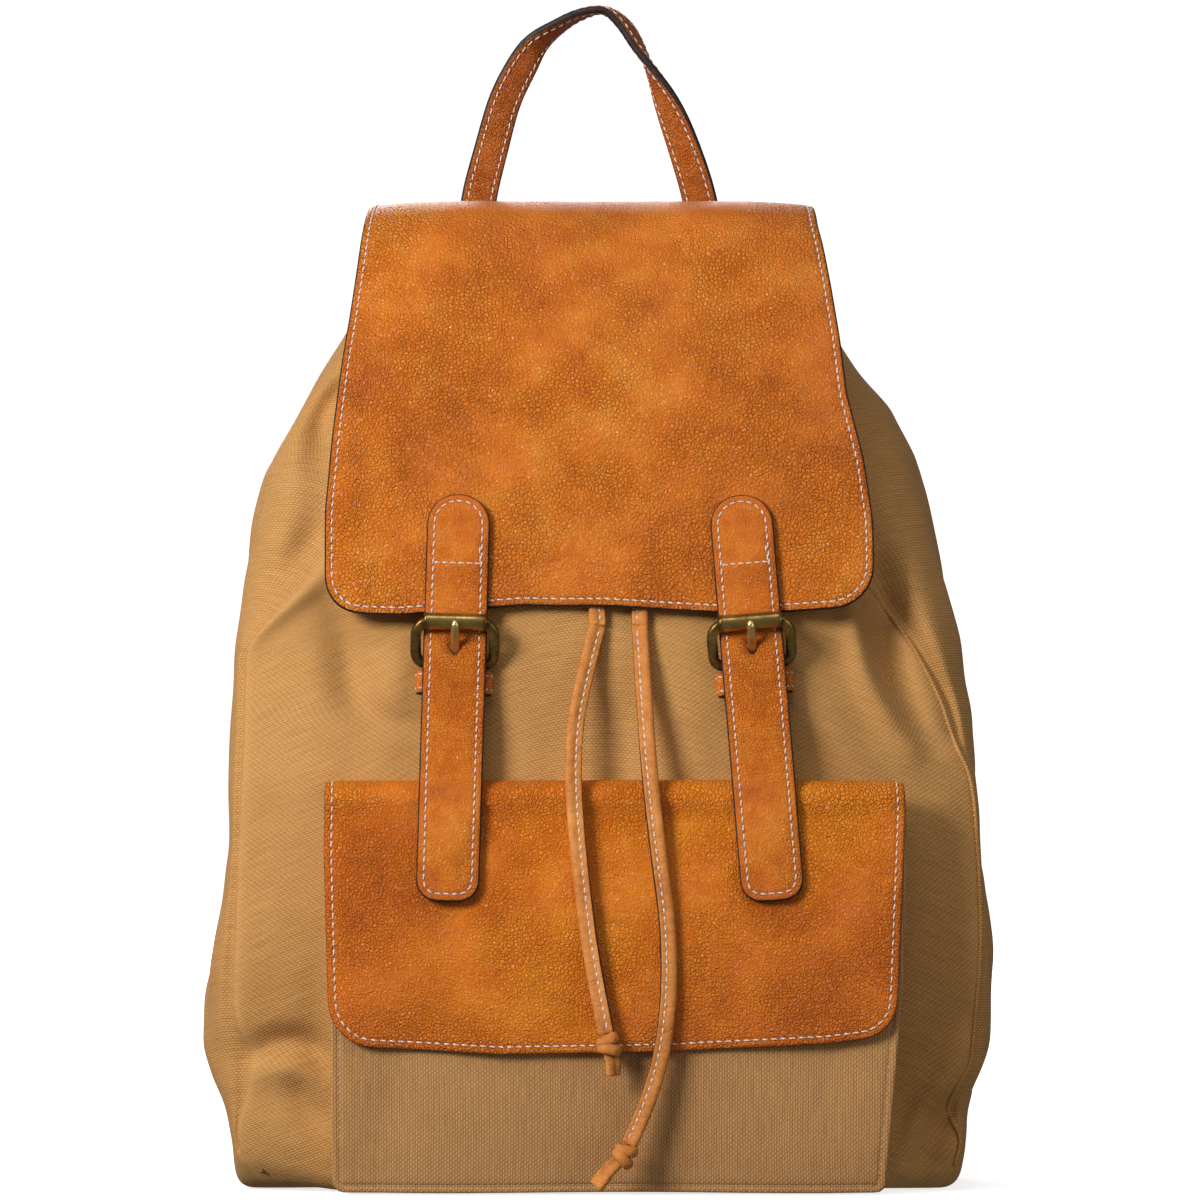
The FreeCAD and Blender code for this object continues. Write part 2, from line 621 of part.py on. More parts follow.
def make_strap(side):
    frame = strap_frame(side)
    half = d.strap_width / 2
    middle = (d.strap_off + d.strap_thick / 2).value
    top = (d.strap_top - d.bar_height) / lean_cos

    # the sewn part, ending just above the place where the tail bends
    sewn = plate(f"sewn_{side}", half, size(1.7) - d.tail_drop, top, 0, 9, d.strap_thick, -middle)
    slot = plate(f"slot_{side}", size(1.9), size(0.6), size(12), 1.6, 1.6, 9, -middle)
    node(combine("Cut", f"strap_leather_{side}", sewn, slot), f"closure_strap_{side}", frame)

    # the tail: bends at its top, lies forward of the pocket flap
    pivot = -d.tail_drop
    inner = d.strap_off
    thick = d.strap_thick
    knee = pivot - 42
    low = pivot - d.tail_long
    profile = [(-inner, pivot), (-d.tail_off, knee), (-d.tail_off, low),
               (-d.tail_off - thick, low), (-d.tail_off - thick, knee), (-inner - thick, pivot)]
    side_on = seen_from_side(f"tail_side_{side}", profile, {5: -thick * 0.4999})
    face_on = seen_from_front(f"tail_front_{side}",
                              *rounded(-half, half, low, pivot + thick, 8))
    node(combine("Common", f"tail_leather_{side}", side_on, face_on), f"strap_tail_{side}", frame)

    # the buckle stands on its lower bar and leans out so that the strap passes behind the roller
    bar = frame * move(0, -d.bar_off.value, 0)
    buckle = bar * about_x(FRAME_TILT)
    node(wire_frame(f"buckle_{side}", FRAME_LONG, d.roller_bar), f"buckle_frame_{side}", buckle)
    sleeve = combine("Cut", f"roller_metal_{side}", crossbar(f"roller_out_{side}", d.roller_radius,
                                                            d.roller_long),
                     crossbar(f"roller_in_{side}", d.roller_bore, d.roller_long + 4))
    node(sleeve, f"buckle_roller_{side}", buckle * move(0, 0, FRAME_LONG))
    node(tongue(f"tongue_{side}", FRAME_LONG + d.tongue_over), f"buckle_tongue_{side}",
         buckle * about_x(d.tongue_lean.value))

    # the chape: folded round the lower bar, cut away where the tongue turns
    eye_radius = d.bar_radius + 1.6
    leaf = plate(f"leaf_{side}", half, -d.chape_long, size(0), d.strap_width * 0.48, 0, d.chape_thick,
                 -(d.chape_off + d.chape_thick / 2).value)
    eye = crossbar(f"eye_{side}", eye_radius, d.strap_width, -d.bar_off)
    bore = crossbar(f"eye_bore_{side}", d.bar_radius, 40, -d.bar_off)
    notch = block(f"notch_{side}", 5, 8, 8, (-2.5, -d.bar_off - 4, -3.4))
    chape = combine("Cut", f"chape_leather_{side}", fused(f"chape_blank_{side}", [leaf, eye]),
                    fused(f"chape_cut_{side}", [bore, notch]))
    node(chape, f"buckle_chape_{side}", frame)

    # the keeper: a leather band round the chape, below the bar
    keeper_top = -d.keeper_drop
    keeper_low = keeper_top - d.keeper_tall
    deep = d.chape_thick + 2 * d.keeper_thick + 0.2
    band = block(f"band_{side}", d.keeper_wide, deep, d.keeper_tall,
                 (-d.keeper_wide / 2, -d.chape_off - d.chape_thick - d.keeper_thick - 0.1, keeper_low))
    hole = block(f"band_hole_{side}", d.strap_width + 0.2, d.chape_thick + 0.2, 20,
                 (-d.strap_width / 2 - 0.1, -d.chape_off - d.chape_thick - 0.1, keeper_low - 5))
    node(combine("Cut", f"keeper_leather_{side}", band, hole), f"strap_keeper_{side}", frame)

    # the magnetic snap that holds the chape: a socket on the bag, a stud on the chape
    drop = -d.snap_drop.value
    socket_thick = 1.8
    node(cylinder(f"socket_{side}", d.snap_radius, socket_thick), f"snap_socket_{side}",
         frame * move(0, -socket_thick, drop) * about_x(-90))
    stud_thick = d.chape_off - socket_thick - 0.15
    node(cylinder(f"stud_{side}", d.snap_radius, stud_thick), f"snap_stud_{side}",
         frame * move(0, -d.chape_off.value, drop) * about_x(-90))


# ------------------------------------------------------------------ handle and harness

HANDLE_X = -4


def make_handle():
    """A leather loop: two short legs and a round top, standing on its hinge line."""
    foot = d.handle_axis_height - 2.5
    half = d.handle_half
    wide = d.handle_wide
    shoulder = foot + 26
    points = [(-half, foot), (-half + wide, foot), (-half + wide + 4, shoulder),
              (half - wide - 4, shoulder), (half - wide, foot), (half, foot),
              (half - 3, shoulder + 4), (-half + 3, shoulder + 4)]
    inner_bow = d.handle_rise - 26 - wide
    outer_bow = d.handle_rise - 30
    arch = seen_from_front("handle_arch", points, {2: -inner_bow, 6: outer_bow}, d.handle_thick)
    y = d.handle_axis_y.value + 2.7 - d.handle_thick.value / 2
    node(arch, "grab_handle", move(HANDLE_X, y, 0))

    for side, sign in (("left", -1), ("right", 1)):
        x = (sign * (d.handle_half - d.handle_wide / 2)).value + HANDLE_X
        pad = block(f"pad_{side}", 22, 3, 20, (x - 11, d.back_y + d.leather, 364))
        node(pad, f"handle_anchor_{side}")


def make_back():
    """The leather yoke across the top of the back, and the strip that holds the lid's seam."""
    yoke = seen_from_front("yoke_leather", *rounded(-d.yoke_half, d.yoke_half, d.yoke_low,
                                                    d.back_height, 14), d.leather)
    node(yoke, "back_yoke", move(0, (d.back_y + d.leather / 2).value, 0))
    seam = block("seam_leather", 2 * (d.mouth_half - 3), d.wall + d.leather, 4.3,
                 (3 - d.mouth_half, d.back_y - d.wall, d.back_height))
    node(seam, "lid_seam")


def make_harness(side):
    frame = harness_frame(side)
    half = d.harness_wide / 2
    start = d.leather + 0.2
    low = -d.harness_long
    high = size(10)
    out = d.harness_bow
    thick = d.harness_thick
    profile = [(start, high), (start, size(-14)), (out, low), (out + thick, low),
               (start + thick, size(-14)), (start + thick, high)]
    side_on = seen_from_side(f"harness_side_{side}", profile, {1: -size(11), 3: size(11)})
    face_on = seen_from_front(f"harness_front_{side}", *rounded(-half, half, low, high, 16, 6))
    node(combine("Common", f"harness_leather_{side}", side_on, face_on), f"shoulder_strap_{side}", frame)

    # the narrow lower strap runs up to the buckle at the end of the shoulder strap
    thin = d.lower_thick
    join = low - 0.6
    foot = join - d.lower_long
    rest = d.leather + 0.2
    profile = [(out + 1, join), (rest, foot + 12), (rest, foot), (rest + thin, foot),
               (rest + thin, foot + 12), (out + 1 + thin, join)]
    side_on = seen_from_side(f"lower_side_{side}", profile, {0: -size(5), 4: size(5)})
    face_on = seen_from_front(f"lower_front_{side}",
                              *rounded(-d.lower_wide / 2, d.lower_wide / 2, foot, join, 6))
    node(combine("Common", f"lower_leather_{side}", side_on, face_on), f"lower_strap_{side}", frame)

    anchor = seen_from_front(f"anchor_leather_{side}", *rounded(size(-17), size(17), foot - 8,
                                                              foot + 34, 10, 4), d.leather)
    node(anchor, f"strap_anchor_{side}", frame * move(0, (d.leather / 2).value, 0))

    # the adjusting buckle lies on the outer face, over the join
    drop = (low - 12).value
    face = (out + thick + d.wire_radius + 2).value
    lie = frame * move(0, face, drop)
    node(wire_frame(f"adjuster_{side}", 22, d.roller_bar), f"adjuster_frame_{side}", lie)
    turn = about_x(-10)
    node(tongue(f"adjuster_tongue_blank_{side}", 25), f"adjuster_tongue_{side}", lie * turn)


make_walls()
make_insides()
make_drawstring()
make_pocket()
make_lid()
for side in STRAPS:
    make_strap(side)
make_handle()
make_back()
for side in STRAPS:
    make_harness(side)

doc.recompute()
failed = [o.Label for o in doc.Objects if {"Invalid", "Error"} & set(o.State)]
failed += [n.Label for n in nodes if n.Shape.isNull() or not n.Shape.isValid()]
if failed:
    raise RuntimeError(f"failed objects: {failed}")
for made in nodes:
    loose = len(made.Shape.Solids)
    print(f"{made.Label}: {made.Shape.Volume / 1000:.2f} cm3, {loose} solid" + "s" * (loose > 1))

os.makedirs("parts", exist_ok=True)
for made in nodes:
    made.Shape.exportStep(f"parts/{made.Label}.step")
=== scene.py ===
import json
import math

import bmesh
import bpy
import numpy as np
from mathutils import Matrix, Vector
from mathutils.geometry import delaunay_2d_cdt
from mathutils.noise import noise

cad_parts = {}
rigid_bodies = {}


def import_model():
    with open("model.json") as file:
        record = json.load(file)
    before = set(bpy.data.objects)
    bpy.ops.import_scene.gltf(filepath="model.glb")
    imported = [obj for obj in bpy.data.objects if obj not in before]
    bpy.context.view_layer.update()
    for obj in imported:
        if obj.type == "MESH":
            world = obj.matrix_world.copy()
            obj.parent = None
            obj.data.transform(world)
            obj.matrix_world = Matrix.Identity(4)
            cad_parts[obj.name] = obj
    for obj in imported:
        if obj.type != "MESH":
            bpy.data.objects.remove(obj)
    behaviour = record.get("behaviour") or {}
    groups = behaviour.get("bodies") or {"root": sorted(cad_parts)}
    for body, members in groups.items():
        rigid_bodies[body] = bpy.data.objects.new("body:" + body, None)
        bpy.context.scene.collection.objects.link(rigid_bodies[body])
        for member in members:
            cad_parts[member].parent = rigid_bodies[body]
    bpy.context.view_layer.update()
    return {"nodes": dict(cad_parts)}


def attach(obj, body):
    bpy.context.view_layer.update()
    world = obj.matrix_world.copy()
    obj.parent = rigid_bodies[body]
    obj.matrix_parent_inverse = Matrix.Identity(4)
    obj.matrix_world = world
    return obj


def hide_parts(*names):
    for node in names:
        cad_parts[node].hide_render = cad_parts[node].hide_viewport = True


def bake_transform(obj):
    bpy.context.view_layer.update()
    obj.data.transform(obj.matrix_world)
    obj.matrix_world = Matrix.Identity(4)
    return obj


for thing in list(bpy.data.objects):
    bpy.data.objects.remove(thing)
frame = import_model()
nodes = frame["nodes"]
MM = 0.001
TURN = 2 * math.pi

# above the height FRONT_TURN the front leans back LEAN_BACK mm for every LEAN_UP mm, from y = FRONT_FOOT
FRONT_TURN, FRONT_FOOT, LEAN_BACK, LEAN_UP = 163, -62, 29, 137
LEAN = math.atan2(LEAN_BACK, LEAN_UP)
EYELET_TILT = math.radians(33)
CAMERA_AWAY, CAMERA_HEIGHT, CAMERA_LENS = 4.0, 0.237, 295.9


# ---- the camera

def make_camera():
    data = bpy.data.cameras.new("camera")
    data.sensor_width = 36
    data.lens = CAMERA_LENS
    data.clip_end = 50
    camera = bpy.data.objects.new("camera", data)
    camera.location = (0, -CAMERA_AWAY, CAMERA_HEIGHT)
    camera.rotation_euler = (math.pi / 2, 0, 0)
    bpy.context.scene.collection.objects.link(camera)
    bpy.context.scene.camera = camera


make_camera()


# ---- node trees

def srgb(r, g, b):
    """Linear colour of a screen colour."""
    return tuple(((c / 255 + 0.055) / 1.055) ** 2.4 if c > 10 else c / 255 / 12.92
                 for c in (r, g, b)) + (1,)


class Tree:
    """A small helper for building a material's nodes."""

    def __init__(self, name):
        self.material = bpy.data.materials.new(name)
        self.material.use_nodes = True
        self.nodes = self.material.node_tree.nodes
        self.links = self.material.node_tree.links
        self.nodes.clear()
        self.out = self.add("OutputMaterial")
        self.shader = self.add("BsdfPrincipled")
        self.links.new(self.shader.outputs[0], self.out.inputs[0])

    def add(self, kind, inputs=None, **props):
        node = self.nodes.new("ShaderNode" + kind)
        for key, value in props.items():
            setattr(node, key, value)
        for key, value in (inputs or {}).items():
            self.put(node.inputs[key], value)
        return node

    def put(self, socket, value):
        if isinstance(value, bpy.types.NodeSocket):
            self.links.new(value, socket)
        elif isinstance(value, bpy.types.Node):
            self.links.new(value.outputs[0], socket)
        else:
            socket.default_value = value

    def math(self, operation, a, b):
        return self.add("Math", {0: a, 1: b}, operation=operation).outputs[0]

    def times(self, a, b):
        return self.math("MULTIPLY", a, b)

    def plus(self, a, b):
        return self.math("ADD", a, b)

    def mix(self, share, a, b):
        node = self.add("Mix", data_type="RGBA")
        self.put(node.inputs[0], share)
        self.put(node.inputs[6], a)
        self.put(node.inputs[7], b)
        return node.outputs[2]

    def coordinates(self, uv, scale=(1, 1, 1), shift=(0, 0, 0)):
        if uv:
            source = self.add("UVMap").outputs[0]
        else:
            source = self.add("TexCoord").outputs["Object"]
        node = self.add("Mapping", {"Vector": source, "Location": shift, "Scale": scale})
        return node.outputs[0]

    def noise(self, vector, scale, detail=2.0, rough=0.5, distort=0.0):
        made = self.add("TexNoise", {"Vector": vector, "Scale": scale, "Detail": detail,
                                     "Roughness": rough, "Distortion": distort})
        return made.outputs[0]

    def cells(self, vector, scale):
        """Distance to the nearest edge between Voronoi cells."""
        made = self.add("TexVoronoi", {"Vector": vector, "Scale": scale}, feature="DISTANCE_TO_EDGE")
        return made.outputs[0]

    def ramp(self, value, *stops):
        node = self.add("ValToRGB", {0: value})
        band = node.color_ramp
        while len(band.elements) < len(stops):
            band.elements.new(0.5)
        for element, (place, colour) in zip(band.elements, stops):
            element.position = place
            element.color = colour if len(colour) == 4 else (*colour, 1)
        return node.outputs[0]

    def level(self, value, low, high, to_low=0.0, to_high=1.0):
        node = self.add("MapRange", {0: value, 1: low, 2: high, 3: to_low, 4: to_high})
        return node.outputs[0]

    def bump(self, height, distance, strength=1.0, normal=None):
        inputs = {"Height": height, "Distance": distance, "Strength": strength}
        if normal is not None:
            inputs["Normal"] = normal
        return self.add("Bump", inputs).outputs[0]

    def set(self, **inputs):
        for key, value in inputs.items():
            self.put(self.shader.inputs[key.replace("_", " ")], value)


def canvas(name, light, mid, dark, row=0.00105, column=0.0009):
    """Plain-weave cotton duck with a marked rib; row and column are the yarns' spacing in metres."""
    t = Tree(name)
    uv = t.coordinates(True)
    wander = t.times(t.math("SUBTRACT", t.noise(uv, 18, 1), 0.5), 0.0016)
    parts = t.add("SeparateXYZ", {0: uv})
    u = t.plus(parts.outputs[0], wander)
    v = t.plus(parts.outputs[1], wander)
    warp = t.math("SINE", t.times(v, math.pi / row), 0.0)
    rib = t.math("ABSOLUTE", warp, 0.0)
    over = t.times(t.math("SINE", t.times(u, math.pi / column), 0.0), warp)
    slub = t.noise(t.coordinates(True, (70, 900, 1)), 1.0, 1)
    fleck = t.noise(t.coordinates(True, (700, 900, 1)), 1.0, 1)
    patch = t.noise(uv, 9, 3)
    height = t.plus(t.times(rib, 0.55), t.times(over, 0.3))
    tone = t.plus(t.times(height, 0.36), t.times(slub, 0.22))
    tone = t.plus(tone, t.times(fleck, 0.16))
    tone = t.plus(tone, t.times(patch, 0.26))
    colour = t.ramp(tone, (0.20, dark), (0.44, mid), (0.66, light))
    rubbed = t.add("Attribute", attribute_name="wear").outputs["Fac"]
    colour = t.mix(t.times(rubbed, 0.4), colour, light)
    weave = t.bump(height, 0.00024, 0.8)
    t.set(Base_Color=colour, Roughness=0.92, Sheen_Weight=0.06, Sheen_Roughness=0.4,
          Specular_IOR_Level=0.2, Normal=t.bump(t.noise(uv, 95), 0.0006, 0.4, weave))
    return t.material


def leather(name, light, mid, dark, grain=0.0015, gloss=0.40, depth=0.00042, shift=0.0, mottle=22.0,
            shine=0.36, wrinkled=0.35):
    """Waxed pull-up leather: pebbled grain, cloudy colour, soft wrinkles, darker burnished edges with painted
    shade along the sewing groove, and painted shade in the pebbles' hollows.

    grain is the size of a pebble and depth its height, in metres; mottle is how small the clouds are.
    """
    t = Tree(name)
    where = t.coordinates(True, shift=(shift, shift * 0.7, shift * 0.3))
    cloud = t.noise(where, mottle, 3, 0.5, 0.2)
    spot = t.noise(where, mottle * 6)
    bend = t.add("TexNoise", {"Vector": where, "Scale": 0.22 / grain, "Detail": 1.0})
    small = t.add("VectorMath", {0: bend.outputs[1], "Scale": 0.9 * grain}, operation="SCALE")
    warped = t.add("VectorMath", {0: where, 1: small.outputs[0]}, operation="ADD").outputs[0]
    pebble = t.level(t.cells(warped, 1 / grain), 0.0, 0.22)
    tiny = t.level(t.cells(warped, 2.3 / grain), 0, 0.3)
    strength = t.level(t.noise(where, 26), 0.36, 0.60, 0.35, 1.0)
    wrinkle = t.noise(t.coordinates(True, (60, 170, 100), (shift, 0, 0)), 1.0, 1, 0.5, 0.8)
    fold = t.level(t.math("ABSOLUTE", t.math("SUBTRACT", wrinkle, 0.5), 0.0), 0.0, 0.045)
    tone = t.plus(t.times(cloud, 0.6), t.times(spot, 0.4))
    colour = t.ramp(tone, (0.28, dark), (0.5, mid), (0.70, light))
    # painted shade: the hollows between the pebbles are coloured darker; the same mask also makes them
    # rougher
    valley = t.times(t.math("SUBTRACT", 1.0, pebble), strength)
    colour = t.mix(t.times(valley, 0.5), colour, dark)
    # darker towards the cut edge, as burnished leather, and painted shade along the sewing groove
    rim = t.add("Attribute", attribute_name="rim").outputs["Fac"]
    colour = t.mix(t.times(rim, 0.6), colour, dark)
    rough = t.plus(t.level(cloud, 0.3, 0.7, gloss + 0.04, gloss - 0.05), t.times(valley, 0.2))
    normal = t.bump(t.plus(t.times(pebble, strength), t.times(tiny, 0.3)), depth, 0.9)
    normal = t.bump(fold, 0.0004, wrinkled, normal)
    t.set(Base_Color=colour, Roughness=rough, Specular_IOR_Level=shine,
          Normal=t.bump(t.noise(where, 80, 3), 0.0016, 0.5, normal))
    return t.material


def edge_paint(name):
    """Dark paint on the cut edges of the leather."""
    t = Tree(name)
    where = t.coordinates(False)
    colour = t.ramp(t.noise(where, 500, 3), (0.3, srgb(22, 18, 18)), (0.75, srgb(58, 42, 36)))
    t.set(Base_Color=colour, Roughness=0.55, Specular_IOR_Level=0.4)
    t.set(Normal=t.bump(t.noise(where, 1800, 2), 0.0002, 0.6))
    return t.material


def thread_of(name, pale, deep):
    """Twisted waxed thread."""
    t = Tree(name)
    where = t.coordinates(False)
    twist = t.add("TexWave", {"Vector": where, "Scale": 420, "Distortion": 1.5, "Detail": 1.0},
                  bands_direction="DIAGONAL").outputs[1]
    colour = t.mix(t.level(twist, 0, 1, 0.0, 0.7), pale, deep)
    t.set(Base_Color=colour, Roughness=0.6, Sheen_Weight=0.2)
    t.set(Normal=t.bump(twist, 0.0002, 0.7))
    return t.material


def brass(name):
    """Antique brass: rubbed bright on the rounds, brown in the hollows, fine scratches."""
    t = Tree(name)
    where = t.coordinates(False)
    stain = t.noise(where, 160, 4, 0.6)
    fine = t.noise(where, 900, 3, 0.65)
    shape = t.add("NewGeometry").outputs["Pointiness"]
    worn = t.plus(t.level(shape, 0.46, 0.56), t.times(t.math("SUBTRACT", stain, 0.5), 1.1))
    colour = t.ramp(worn, (0.0, srgb(112, 86, 42)), (0.45, srgb(190, 158, 88)),
                    (1.0, srgb(246, 222, 156)))
    colour = t.mix(t.level(fine, 0.55, 0.75, 0.0, 0.45), colour, srgb(84, 64, 38))
    scratch = t.noise(t.coordinates(False, (3200, 400, 400)), 1.0, 2)
    t.set(Base_Color=colour, Metallic=0.93, Roughness=t.level(stain, 0.3, 0.7, 0.40, 0.25))
    normal = t.bump(scratch, 0.00008, 0.5)
    t.set(Normal=t.bump(fine, 0.00018, 0.5, normal))
    return t.material


def board(name):
    """Grey-brown fibre board."""
    t = Tree(name)
    where = t.coordinates(False)
    colour = t.ramp(t.noise(where, 400, 4), (0.3, srgb(96, 80, 60)), (0.7, srgb(140, 120, 92)))
    t.set(Base_Color=colour, Roughness=0.85, Normal=t.bump(t.noise(where, 900, 3), 0.0004, 0.6))
    return t.material


CANVAS = canvas("canvas", srgb(214, 163, 100), srgb(189, 138, 79), srgb(143, 98, 52))
CANVAS_POCKET = canvas("canvas_pocket", srgb(206, 157, 102), srgb(182, 133, 83), srgb(134, 92, 53))
LINING = canvas("lining_cloth", srgb(196, 172, 134), srgb(172, 147, 108), srgb(136, 112, 78),
                row=0.0007, column=0.0007)
LID = leather("leather_lid", srgb(238, 152, 50), srgb(221, 120, 19), srgb(184, 87, 10),
              gloss=0.31, mottle=10, grain=0.0016, depth=0.0007, shine=0.46)
STRAP = leather("leather_strap", srgb(232, 142, 42), srgb(218, 116, 18), srgb(182, 86, 9),
                shift=3.1, grain=0.0012, depth=0.0005, gloss=0.33, mottle=30, wrinkled=0.3)
# painted shade: a darker copy of the strap leather, for a handle partly in shade
HANDLE_SHADED = leather("leather_handle_shaded", srgb(208, 120, 38), srgb(190, 98, 22), srgb(156, 72, 11),
                 shift=4.4, grain=0.0014, depth=0.0005, gloss=0.36, mottle=30, wrinkled=0.3)
FLAP = leather("leather_pocket", srgb(236, 142, 22), srgb(221, 117, 7), srgb(192, 91, 4),
               shift=7.7, grain=0.0014, depth=0.0006, gloss=0.32, mottle=12, shine=0.42)
THONG = leather("leather_cord", srgb(232, 160, 86), srgb(214, 136, 62), srgb(176, 100, 38),
                shift=1.9, grain=0.0008, gloss=0.50, mottle=60, depth=0.00012, shine=0.3)
BACK = leather("leather_back", srgb(222, 136, 50), srgb(206, 112, 26), srgb(166, 82, 14),
               shift=5.3, gloss=0.46)
SUEDE = leather("leather_flesh", srgb(206, 164, 118), srgb(184, 140, 94), srgb(150, 108, 68),
                shift=2.3, grain=0.0006, gloss=0.85, depth=0.00012, shine=0.1)
EDGE = edge_paint("edge_paint")
THREAD = thread_of("thread_white", srgb(238, 226, 214), srgb(176, 156, 148))
THREAD_TAN = thread_of("thread_tan", srgb(206, 168, 118), srgb(140, 104, 66))
BRASS = brass("antique_brass")
BOARD = board("stiffener_board")
SEWN = [EDGE, SUEDE, THREAD]


# ---- mesh tools

class Build:
    """Collects points (mm), faces, UVs (metres) and two attributes of one mesh: darker burnished edges with
    painted shade along the sewing groove, and wear.
    """

    def __init__(self):
        self.points = []
        self.faces = []
        self.uvs = []
        self.materials = []
        self.rim = []
        self.wear = []

    def add(self, points, faces, uvs=None, material=0, rim=None, wear=None):
        base = len(self.points)
        self.points.extend(tuple(p) for p in points)
        self.faces.extend(tuple(base + i for i in f) for f in faces)
        self.uvs.extend(uvs if uvs is not None else [(p[0] * MM, p[2] * MM) for p in points])
        self.materials.extend(material if isinstance(material, list) else [material] * len(faces))
        self.rim.extend(rim if rim is not None else [0.0] * len(points))
        self.wear.extend(wear if wear is not None else [0.0] * len(points))

    def grid(self, rows, uvs=None, material=0, closed=False, wear=None):
        """A surface through rows of points, all of the same count."""
        tall, wide = len(rows), len(rows[0])
        points = [p for row in rows for p in row]
        flat = [q for row in uvs for q in row] if uvs is not None else None
        spread = [w for row in wear for w in row] if wear is not None else None
        faces = []
        for i in range(tall - 1):
            for j in range(wide if closed else wide - 1):
                k = (j + 1) % wide
                faces.append((i * wide + j, i * wide + k, (i + 1) * wide + k, (i + 1) * wide + j))
        self.add(points, faces, flat, material, wear=spread)

    def make(self, name, materials):
        mesh = bpy.data.meshes.new(name)
        mesh.from_pydata([(x * MM, y * MM, z * MM) for x, y, z in self.points], [], self.faces)
        layer = mesh.uv_layers.new(name="UVMap")
        corner = np.zeros(len(mesh.loops), int)
        mesh.loops.foreach_get("vertex_index", corner)
        layer.data.foreach_set("uv", np.array(self.uvs, float)[corner].ravel())
        for name_of, values in (("rim", self.rim), ("wear", self.wear)):
            if any(values):
                made = mesh.attributes.new(name_of, "FLOAT", "POINT")
                made.data.foreach_set("value", np.array(values, np.float32))
        for m in materials:
            mesh.materials.append(m)
        mesh.polygons.foreach_set("material_index", np.array(self.materials, int))
        mesh.polygons.foreach_set("use_smooth", np.full(len(mesh.polygons), True))
        mesh.update()
        made = bpy.data.objects.new(name, mesh)
        bpy.context.scene.collection.objects.link(made)
        return made


def settle(made, body, slot, *replaced):
    """Ride a piece on its body and hide the CAD nodes it stands for; the slot argument is not used."""
    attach(made, body)
    if replaced:
        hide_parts(*replaced)


def ease(t):
    """A smooth step from 0 to 1."""
    t = np.clip(t, 0, 1)
    return t * t * (3 - 2 * t)


def smoothed(values, sigma, reach):
    """Values evened out by a bell-shaped kernel."""
    kernel = np.exp(-0.5 * (np.arange(-reach, reach + 1) / sigma) ** 2)
    return np.convolve(np.pad(values, reach, mode="edge"), kernel / kernel.sum(), mode="valid")


def profile(table, sigma):
    """A smooth curve through (height, value) pairs."""
    table = sorted(table)
    heights = np.arange(-10, 400.5, 1.0)
    values = np.interp(heights, [h for h, _ in table], [v for _, v in table])
    values = smoothed(values, sigma, int(3 * sigma))
    return lambda h: np.interp(h, heights, values)


def unit(vectors):
    """Each vector at length 1."""
    return vectors / np.linalg.norm(vectors, axis=-1, keepdims=True)


def lengths(line):
    """The length run from the start to each point of a line."""
    return np.concatenate([[0], np.cumsum(np.linalg.norm(np.diff(line, axis=0), axis=1))])


def along_of(line):
    """Unit tangents of an open line."""
    return unit(np.gradient(line, axis=0))


def sample(at, runs, values):
    """Rows of values at the lengths asked for."""
    return np.stack([np.interp(at, runs, values[:, k]) for k in range(values.shape[1])], axis=1)


def grid_runs(grid, axis):
    """The length run along one axis of a grid of points."""
    return np.insert(np.cumsum(np.linalg.norm(np.diff(grid, axis=axis), axis=2), axis=axis), 0, 0, axis=axis)


def catmull(points, step=1.0):
    """A smooth line through the points, as evenly spaced samples."""
    p = np.array(points, float)
    p = np.vstack([2 * p[0] - p[1], p, 2 * p[-1] - p[-2]])
    line = []
    for i in range(1, len(p) - 2):
        for t in np.linspace(0, 1, 16, endpoint=False):
            line.append(0.5 * ((2 * p[i]) + (-p[i - 1] + p[i + 1]) * t
                               + (2 * p[i - 1] - 5 * p[i] + 4 * p[i + 1] - p[i + 2]) * t * t
                               + (-p[i - 1] + 3 * p[i] - 3 * p[i + 1] + p[i + 2]) * t ** 3))
    line.append(p[-2])
    return resample(np.array(line), step)


def resample(line, step):
    """A line's points at even spacing."""
    line = np.array(line, float)
    runs = lengths(line)
    count = max(2, int(round(runs[-1] / step)) + 1)
    return sample(np.linspace(0, runs[-1], count), runs, line)


def doubled_area(line):
    """Twice the signed area of a closed outline."""
    x, y = line[:, 0], line[:, 1]
    return (x * np.roll(y, -1) - np.roll(x, -1) * y).sum()


def ring_points(wide, tall, count, power=(1, 1)):
    """A rounded closed section: an oval, squarer for powers under 1."""
    angles = np.linspace(0, TURN, count, endpoint=False)
    c, s = np.cos(angles), np.sin(angles)
    return np.stack([wide * np.sign(c) * abs(c) ** power[0],
                     tall * np.sign(s) * abs(s) ** power[1]], axis=1)


def hole_at(middle, wide, tall, count):
    """The outline of a round or oval hole in a strap."""
    return np.array([(wide * math.sin(t), middle + tall * math.cos(t))
                     for t in np.linspace(0, TURN, count + 1)[:-1]])


